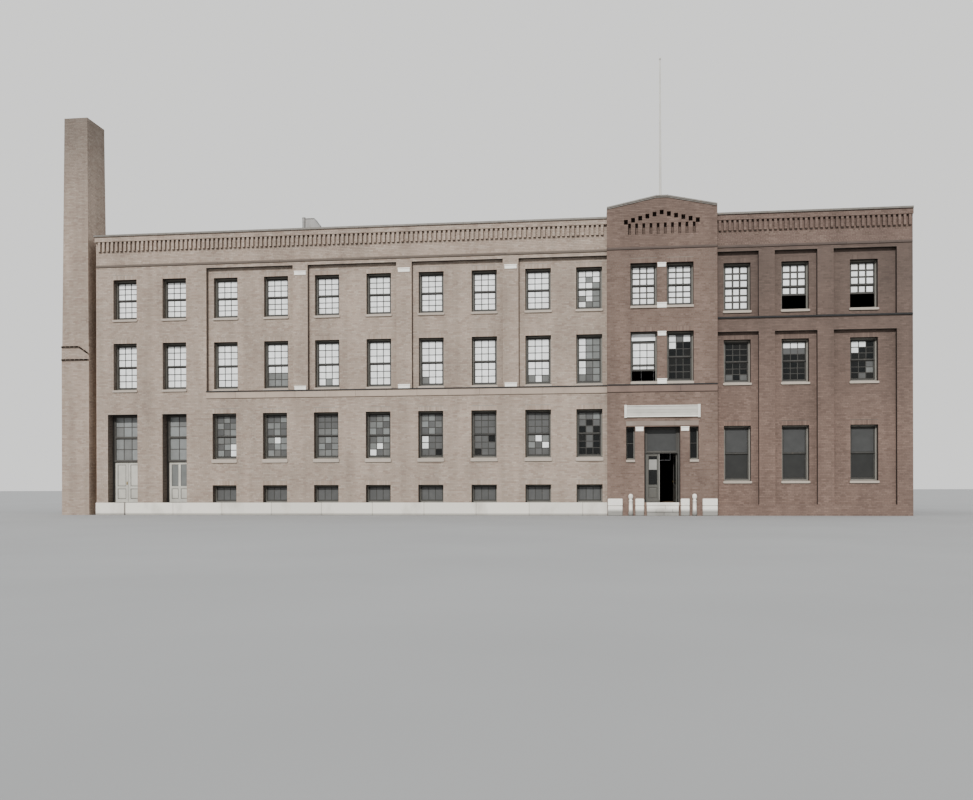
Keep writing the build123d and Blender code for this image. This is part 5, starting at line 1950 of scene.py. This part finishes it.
            # A pale strip runs down the leaf's free edge: a painted highlight for its sunlit edge. The two boxes after
            # it are the bare notice card.
            for low, high in (((self.width - 0.034, -face - 0.006, 0.1), (self.width - 0.002, -face, self.height)),
                              ((0.135, -face + 0.012, 1.47), (0.495, -face + 0.02, 1.94)),
                              ((0.15, -face + 0.009, 1.485), (0.48, -face + 0.012, 1.925))):
                shape.box(low, high, LeafMark.CARD_AND_HIGHLIGHT)
        self.place(shape)
        shape.piece(self.nodes[0] + "_joinery", [self.finish, HINGE_IRON, BRASS, CARD_AND_HIGHLIGHT_PAINT, DOOR_FRAME_PAINT],
                    self.body, self.nodes[:1], 0.002)
        if glass.count:
            self.place(glass)
            pane = Pane.DARK if self.finish is ENTRANCE_PAINT else Pane.DIM
            glass.piece(self.nodes[1] + "_pane", [PANE_FINISHES[pane]], self.body, self.nodes[1:])


LEAVES = (
    Leaf("double_left_leaf", ("double_door_left_leaf",), (-17.381, -5.136), 1, 0.657, 1.954, PALE_DOOR_PAINT),
    Leaf("double_right_leaf", ("double_door_right_leaf",), (-16.049, -5.136), -1, 0.657, 1.954, PALE_DOOR_PAINT,
         knob=False),
    Leaf("single_leaf", ("single_door_leaf", "single_door_glass"), (-14.601, -5.136), 1, 1.034, 1.954,
         PALE_DOOR_PAINT, 2, True),
    Leaf("entrance_narrow_leaf", ("entrance_left_leaf", "entrance_left_glass"), (8.304, -5.486), 1, 0.62, 2.204,
         ENTRANCE_PAINT, 1, True, False),
    Leaf("entrance_wide_leaf", ("entrance_right_leaf", "entrance_right_glass"), (9.716, -5.486), -1, 0.774, 2.204,
         ENTRANCE_PAINT, 1, True, True, -85.0),
)


@dataclass
class FixedHinges:
    """The half of each lift-off hinge that stays on the jamb, one under each leaf knuckle."""

    play: float = 0.0003

    def build(self) -> None:
        """Builds the fixed knuckles with their straps and pins' caps."""
        shape = Shape()
        for leaf in LEAVES:
            x, y = leaf.axis
            for height in (leaf.inset, leaf.height - leaf.inset):
                head = PLAN.z_base + LEAF_GAP + height - leaf.knuckle / 2 - self.play
                foot = head - leaf.knuckle
                shape.turned((x, y), [(0.008, foot), (KNUCKLE_RADIUS, foot + 0.004), (KNUCKLE_RADIUS, head)], 20)
                shape.box((x, y - 0.014, foot), (x - leaf.side * 0.024, y - 0.01, head))
        shape.piece("fixed_hinges", [HINGE_IRON], nodes=["door_hinges"])


@dataclass
class Entrance:
    """The pieces in front of the entrance: the bare signboard, the doorstep and two turned posts."""

    half_sign: float = 1.68
    end: float = 0.11
    sign_foot: float = 4.44
    sign_head: float = 4.97
    proud: float = 0.085
    field: float = 0.06

    def sign(self) -> None:
        """Builds the signboard: three boards in a moulded frame, between two end posts."""
        shape, x, y, finishes = Shape(), PLAN.x_centre, PLAN.y_pavilion, [SIGN_PAINT, SIGN_FIELD]
        inner, out = self.half_sign - self.end, y - self.proud
        low, high = self.sign_foot + 0.06, self.sign_head - 0.06
        for edge, way in ((low, -1), (high, 1)):
            rim = edge + way * 0.06
            shape.run([(y, edge), (y, rim), (out, rim), (out, edge + way * 0.03), (out + 0.012, edge + way * 0.012),
                       (y - self.field, edge)], x - inner, x + inner)
        tall = (high - low) / 3
        for foot in (low, low + tall, low + 2 * tall):
            shape.box((x - inner, y - self.field, foot + 0.002), (x + inner, y - 0.001, foot + tall - 0.002),
                      finishes.index(SIGN_FIELD))
        for side in (-1, 1):
            near, far = x + side * inner, x + side * self.half_sign
            shape.box((near, out, self.sign_foot), (far, y, self.sign_head))
            for foot in (self.sign_foot - 0.03, self.sign_head):
                shape.box((near, out - 0.004, foot), (far + side * 0.004, y, foot + 0.03))
        shape.piece("bare_signboard", finishes, nodes=["signboard"], bevel=0.004)

    def step(self) -> None:
        """Builds the doorstep: three courses of stone under a tread with a rounded nose."""
        shape, x, y, nose = Shape(), PLAN.x_centre, PLAN.y_pavilion, PLAN.y_pavilion - 0.3
        for foot, cuts in ((0.0, (-0.7, 0.05, 0.7)), (0.155, (-0.7, -0.3, 0.42, 0.7)), (0.31, (-0.7, 0.12, 0.7))):
            for left, right in zip(cuts, cuts[1:]):
                shape.box((x + left + 0.003, nose + 0.025, foot + 0.003), (x + right - 0.003, y, foot + 0.152))
        shape.run([(y, 0.465), (y, 0.6), (nose + 0.012, 0.597), (nose + 0.002, 0.585), (nose, 0.56),
                   (nose + 0.004, 0.48), (nose + 0.02, 0.465)], x - 0.71, x + 0.71)
        shape.piece("doorstep_stones", [PLINTH_STONE], nodes=["doorstep"], bevel=0.008)

    def posts(self) -> None:
        """Turns the two posts, each with a neck under a round head."""
        shape = Shape()
        rings = [(0.105, 0.001), (0.105, 0.16), (0.098, 0.18), (0.088, 0.2), (0.084, 0.45), (0.08, 0.66),
                 (0.09, 0.672), (0.09, 0.7), (0.068, 0.715), (0.062, 0.745), (0.078, 0.77), (0.096, 0.81),
                 (0.102, 0.86), (0.097, 0.92), (0.08, 0.96), (0.05, 0.982), (0.014, 0.989)]
        for light in SIDE_LIGHTS:
            shape.turned(((light.left + light.right) / 2, PLAN.y_pavilion - 0.105), rings, 32)
        shape.piece("turned_posts", [PLINTH_STONE], nodes=["guard_posts"], smooth=True)

    def build(self) -> None:
        """Builds the three of them."""
        self.sign()
        self.step()
        self.posts()


# Roof


@dataclass
class Copings:
    """The folded metal copings, in lengths with a raised seam between them."""

    length: float = 1.6
    seam: float = 0.03
    nose: float = 0.19
    lap: float = 0.06
    reach: float = 0.44

    def lengths(self, shape: Shape, low: float, high: float, start: float, end: float) -> None:
        """Lays one run of coping with its seams.

        Args:
            shape: Takes it.
            low: Its near edge across the wall.
            high: Its far edge.
            start: Where it starts along the wall.
            end: Where it ends.
        """
        foot, head, middle = PLAN.z_parapet, PLAN.z_coping, (low + high) / 2
        body, raised = ([(low - lift, foot), (low + 0.02, foot), (high - 0.02, foot), (high + lift, foot),
                         (high + lift, foot + 0.075), (middle, head + lift), (low - lift, foot + 0.085)]
                        for lift in (0.0, 0.006))
        edges = np.linspace(start, end, max(2, round((end - start) / self.length)) + 1)
        for left, right in zip(edges, edges[1:]):
            shape.run(body, left, right)
            if left > start:
                shape.run(raised, left - self.seam / 2, left + self.seam / 2)

    def build(self) -> None:
        """Builds the straight copings and the pediment's."""
        shape, ends, gable = Shape(), Shape(), Shape()
        near, far = PLAN.y_face - self.nose, PLAN.y_face + self.reach
        back, left = PLAN.y_back - self.reach, PLAN.x_left - self.lap
        for low, high, start, end in ((near, far, left, PLAN.x_pavilion), (near, far, PLAN.x_wing, PLAN.x_right),
                                      (back, PLAN.y_back + self.lap, left, PLAN.x_right)):
            self.lengths(shape, low, high, start, end)
        shape.piece("straight_copings", [COPING_METAL], nodes=["long_copings"])
        for low, high in ((left, PLAN.x_left + self.reach), (PLAN.x_right - self.reach, PLAN.x_right)):
            self.lengths(ends, low, high, far, back)
        for corners in ends.corners:
            corners[:, [0, 1]] = corners[:, [1, 0]]
        ends.flip()
        ends.piece("end_coping_lengths", [COPING_METAL], nodes=["end_copings"])
        near = PLAN.y_pavilion - self.lap
        for (x_low, z_low), (x_high, z_high) in zip(PEDIMENT_RAKE, PEDIMENT_RAKE[1:]):
            count = max(1, round((x_high - x_low) / 0.75)) + 1
            xs, zs = np.linspace(x_low, x_high, count), np.linspace(z_low, z_high, count)
            for a, b, c, d in zip(xs, zs, xs[1:], zs[1:]):
                e, f = a + self.seam, b + self.seam * (d - b) / (c - a)
                gable.slab([(a, b), (c, d), (c, d + 0.05), (a, b + 0.05)], near + 0.025, far - 0.02)
                gable.slab([(a, b + 0.05), (c, d + 0.05), (c, d + 0.11), (a, b + 0.11)], near, far)
                gable.slab([(a, b + 0.045), (e, f + 0.045), (e, f + 0.116), (a, b + 0.116)], near - 0.005, far)
        gable.piece("pediment_coping_lengths", [COPING_METAL], nodes=["pediment_coping"])


@dataclass
class RoofVent:
    """The sheet-metal vent with one cut shoulder, and the pipe beside it."""

    left: float = -8.1
    right: float = -7.2
    shoulder: float = 0.3
    near: float = -4.55
    far: float = -4.05
    foot: float = 12.25
    cut: float = 14.0
    head: float = 14.4

    def build(self) -> None:
        """Builds the body with its seams and louvres, and the pipe with its collars."""
        shape, top, margin = Shape(), self.right - self.shoulder, 0.012
        left, right, near, head = self.left + margin, self.right - margin, self.near, self.head - 0.03
        shape.slab([(left, self.foot), (right, self.foot), (right, self.cut - margin),
                    (top - margin, self.head - margin), (left, self.head - margin)], near + margin, self.far - margin)
        for y in (near, self.far - 0.04):
            for x in (self.left, self.right - 0.04):
                shape.box((x, y, self.foot), (x + 0.04, y + 0.04, self.cut - 0.02))
        for z in (self.foot + 0.12, 13.05, 13.8):
            shape.box((self.left, near, z), (self.right, self.far, z + 0.04))
        for z in (13.14 + i * 0.08 for i in range(8)):
            shape.run([(near + 0.02, z), (near + 0.02, z + 0.012), (near - 0.02, z - 0.03), (near - 0.02, z - 0.042)],
                      self.left + 0.22, self.right - 0.07)
        shape.slab([(self.left, head), (top, head), (self.right, self.cut - 0.03), (self.right, self.cut),
                    (top, self.head), (self.left, self.head)], near - margin, self.far + margin)
        rings = [(0.08, self.foot), (0.075, self.foot + 0.02)]
        for z in (12.9, 13.6, 14.2):
            rings += [(0.075, z), (0.083, z + 0.006), (0.083, z + 0.034), (0.075, z + 0.04)]
        rings += [(0.075, 14.4), (0.085, 14.405), (0.085, 14.435), (0.06, 14.44)]
        shape.turned((self.left + 0.085, near + 0.02), rings, 28)
        shape.piece("roof_vent_sheets", [VENT_METAL], nodes=["roof_vent"], bevel=0.003)


@dataclass
class Flagpole:
    """The slender pole behind the pediment, with a foot plate, bands, a cleat and a ball."""

    x: float = 9.01
    y: float = -5.12
    foot: float = 12.25

    def build(self) -> None:
        """Turns the pole and adds its cleat."""
        shape = Shape()
        rings = [(0.12, self.foot), (0.12, self.foot + 0.02), (0.075, self.foot + 0.03), (0.066, self.foot + 0.12)]
        rings += [(0.06 - 0.03 * (z - self.foot) / 8.75, z) for z in (12.6, 14.0, 16.0, 18.0, 20.0, 20.88)]
        rings += [(0.045, 20.89), (0.045, 20.9), (0.02, 20.905), (0.034, 20.915), (0.046, 20.94), (0.046, 20.96),
                  (0.034, 20.985), (0.01, 20.999)]
        shape.turned((self.x, self.y), rings, 24)
        shape.box((self.x - 0.02, self.y - 0.075, 13.55), (self.x + 0.02, self.y - 0.05, 13.6))
        shape.box((self.x - 0.012, self.y - 0.09, 13.5), (self.x + 0.012, self.y - 0.072, 13.65))
        shape.piece("flagpole_and_ball", [POLE_PAINT], nodes=["flagpole"])


# Studio


@dataclass
class Studio:
    """The plain floor, the soft light and the camera."""

    floor_size: float = 700.0
    eye: Point = (5.96, -49.39, 1.3155)
    turn: float = 6.93
    roll: float = 0.14
    lens: float = 35.15
    shift: Pair = (0.0082, 0.0894)
    sun_side: float = -9.0
    sun_height: float = 33.0
    sun_strength: float = 2.75
    sky: Colour = (0.79, 0.805, 0.825)
    backdrop: Colour = (0.82, 0.82, 0.81)

    def build(self) -> None:
        """Makes the floor, the lights and the camera."""
        mesh = bpy.data.meshes.new("studio_floor")
        half = self.floor_size / 2
        mesh.from_pydata([(-half, -half, 0), (half, -half, 0), (half, half, 0), (-half, half, 0)], [], [(0, 1, 2, 3)])
        nodes = Nodes("studio floor", 0.95)
        greys = ((0.3, (0.32, 0.32, 0.315)), (0.7, (0.34, 0.34, 0.335)))
        mesh.materials.append(nodes.finish(nodes.clouds(0.2, 3.0, *greys)))
        placed("studio_floor", mesh)
        world = bpy.data.worlds.new("studio")
        world.use_nodes = True
        tree = world.node_tree
        tree.nodes["Background"].inputs["Color"].default_value = (*self.sky, 1.0)
        beyond, either = tree.nodes.new("ShaderNodeBackground"), tree.nodes.new("ShaderNodeMixShader")
        beyond.inputs["Color"].default_value = (*self.backdrop, 1.0)
        tree.links.new(tree.nodes.new("ShaderNodeLightPath").outputs["Is Camera Ray"], either.inputs[0])
        tree.links.new(tree.nodes["Background"].outputs[0], either.inputs[1])
        tree.links.new(beyond.outputs[0], either.inputs[2])
        tree.links.new(either.outputs[0], tree.nodes["World Output"].inputs["Surface"])
        bpy.context.scene.world = world
        view = bpy.context.scene.view_settings
        view.view_transform, view.look = "AgX", "AgX - Medium High Contrast"
        lamp = bpy.data.lights.new("high key light", "SUN")
        lamp.energy = self.sun_strength
        lamp.angle = math.radians(2.0)
        placed("high key light", lamp).rotation_euler = (math.radians(90.0 - self.sun_height), 0.0,
                                                         math.radians(self.sun_side))
        sight = bpy.data.cameras.new("camera")
        sight.lens = self.lens
        sight.sensor_width = 36.0
        sight.shift_x, sight.shift_y = self.shift
        camera = placed("camera", sight)
        camera.location = self.eye
        camera.rotation_euler = (math.radians(90.0), math.radians(self.roll), math.radians(self.turn))
        bpy.context.scene.camera = camera


NODE_FINISHES: dict[Finish, tuple[str, ...]] = {
    LEFT_BED: ("door_side_walls", "left_ground_wall", "left_upper_wall"),
    END_BED: ("left_end_wall",),
    BACK_BED: ("back_wall",),
    PAVILION_BED: ("pavilion_side_walls", "pavilion_upper_wall"),
    WING_BED: ("right_front_wall",),
    PARTY_BED: ("right_party_wall",),
    LEFT_BOND: ("front_parapets", "end_parapets", "back_parapet", "stack_base", "stack_shaft", "flue_link",
                "stone_courses"),
    PAVILION_BOND: ("pediment", "pavilion_base"),
    LIGHT_STONE: ("end_stone_base", "stone_blocks", "window_sills", "doorstep", "guard_posts"),
    BED_STONE: ("stone_base",),
    COPING_METAL: ("long_copings", "end_copings", "pediment_coping", "roof_vent"),
    DOOR_FRAME_PAINT: ("door_jambs", "door_transoms"),
    PALE_DOOR_PAINT: ("double_door_left_leaf", "double_door_right_leaf", "single_door_leaf"),
    ENTRANCE_PAINT: ("entrance_left_leaf", "entrance_right_leaf"),
    PANE_FINISHES[Pane.DIM]: ("transom_glass", "single_door_glass", "window_glass"),
    PANE_FINISHES[Pane.DARK]: ("entrance_left_glass", "entrance_right_glass"),
    SIGN_PAINT: ("signboard",),
    HINGE_IRON: ("door_hinges",),
    CONCRETE: ("basement_floor",),
    FLOOR_BOARDS: ("ground_floors", "upper_floors"),
    ROOF_FELT: ("roof_deck",),
    POLE_PAINT: ("flagpole",),
    FRAME_PAINT: ("basement_windows", "ground_windows", "second_windows", "third_windows", "rear_windows"),
}


def dress_solids() -> None:
    """Gives every solid piece that is carried over its finish."""
    for finish, names in NODE_FINISHES.items():
        for name in names:
            slots = frame["nodes"][name].material_slots
            for slot in slots:
                slot.material = finish.material()
    log.info("dressed %d solid pieces", sum(len(names) for names in NODE_FINISHES.values()))


def main() -> None:
    """Builds the studio and then the building, from the walls to the trim."""
    logging.basicConfig(level=logging.INFO, format="%(message)s")
    Studio().build()
    dress_solids()
    for part in (LeftBlock(), Pavilion(), RightWing(), RearWalls(), Parapets(), Stack(), StoneBase(), StoneBlocks(),
                 Courses(), Sills(), Windows(), DoorFrames(), *LEAVES, FixedHinges(), Entrance(), Copings(),
                 RoofVent(), Flagpole()):
        log.info("building %s", type(part).__name__)
        part.build()


if __name__ == "__main__":
    main()
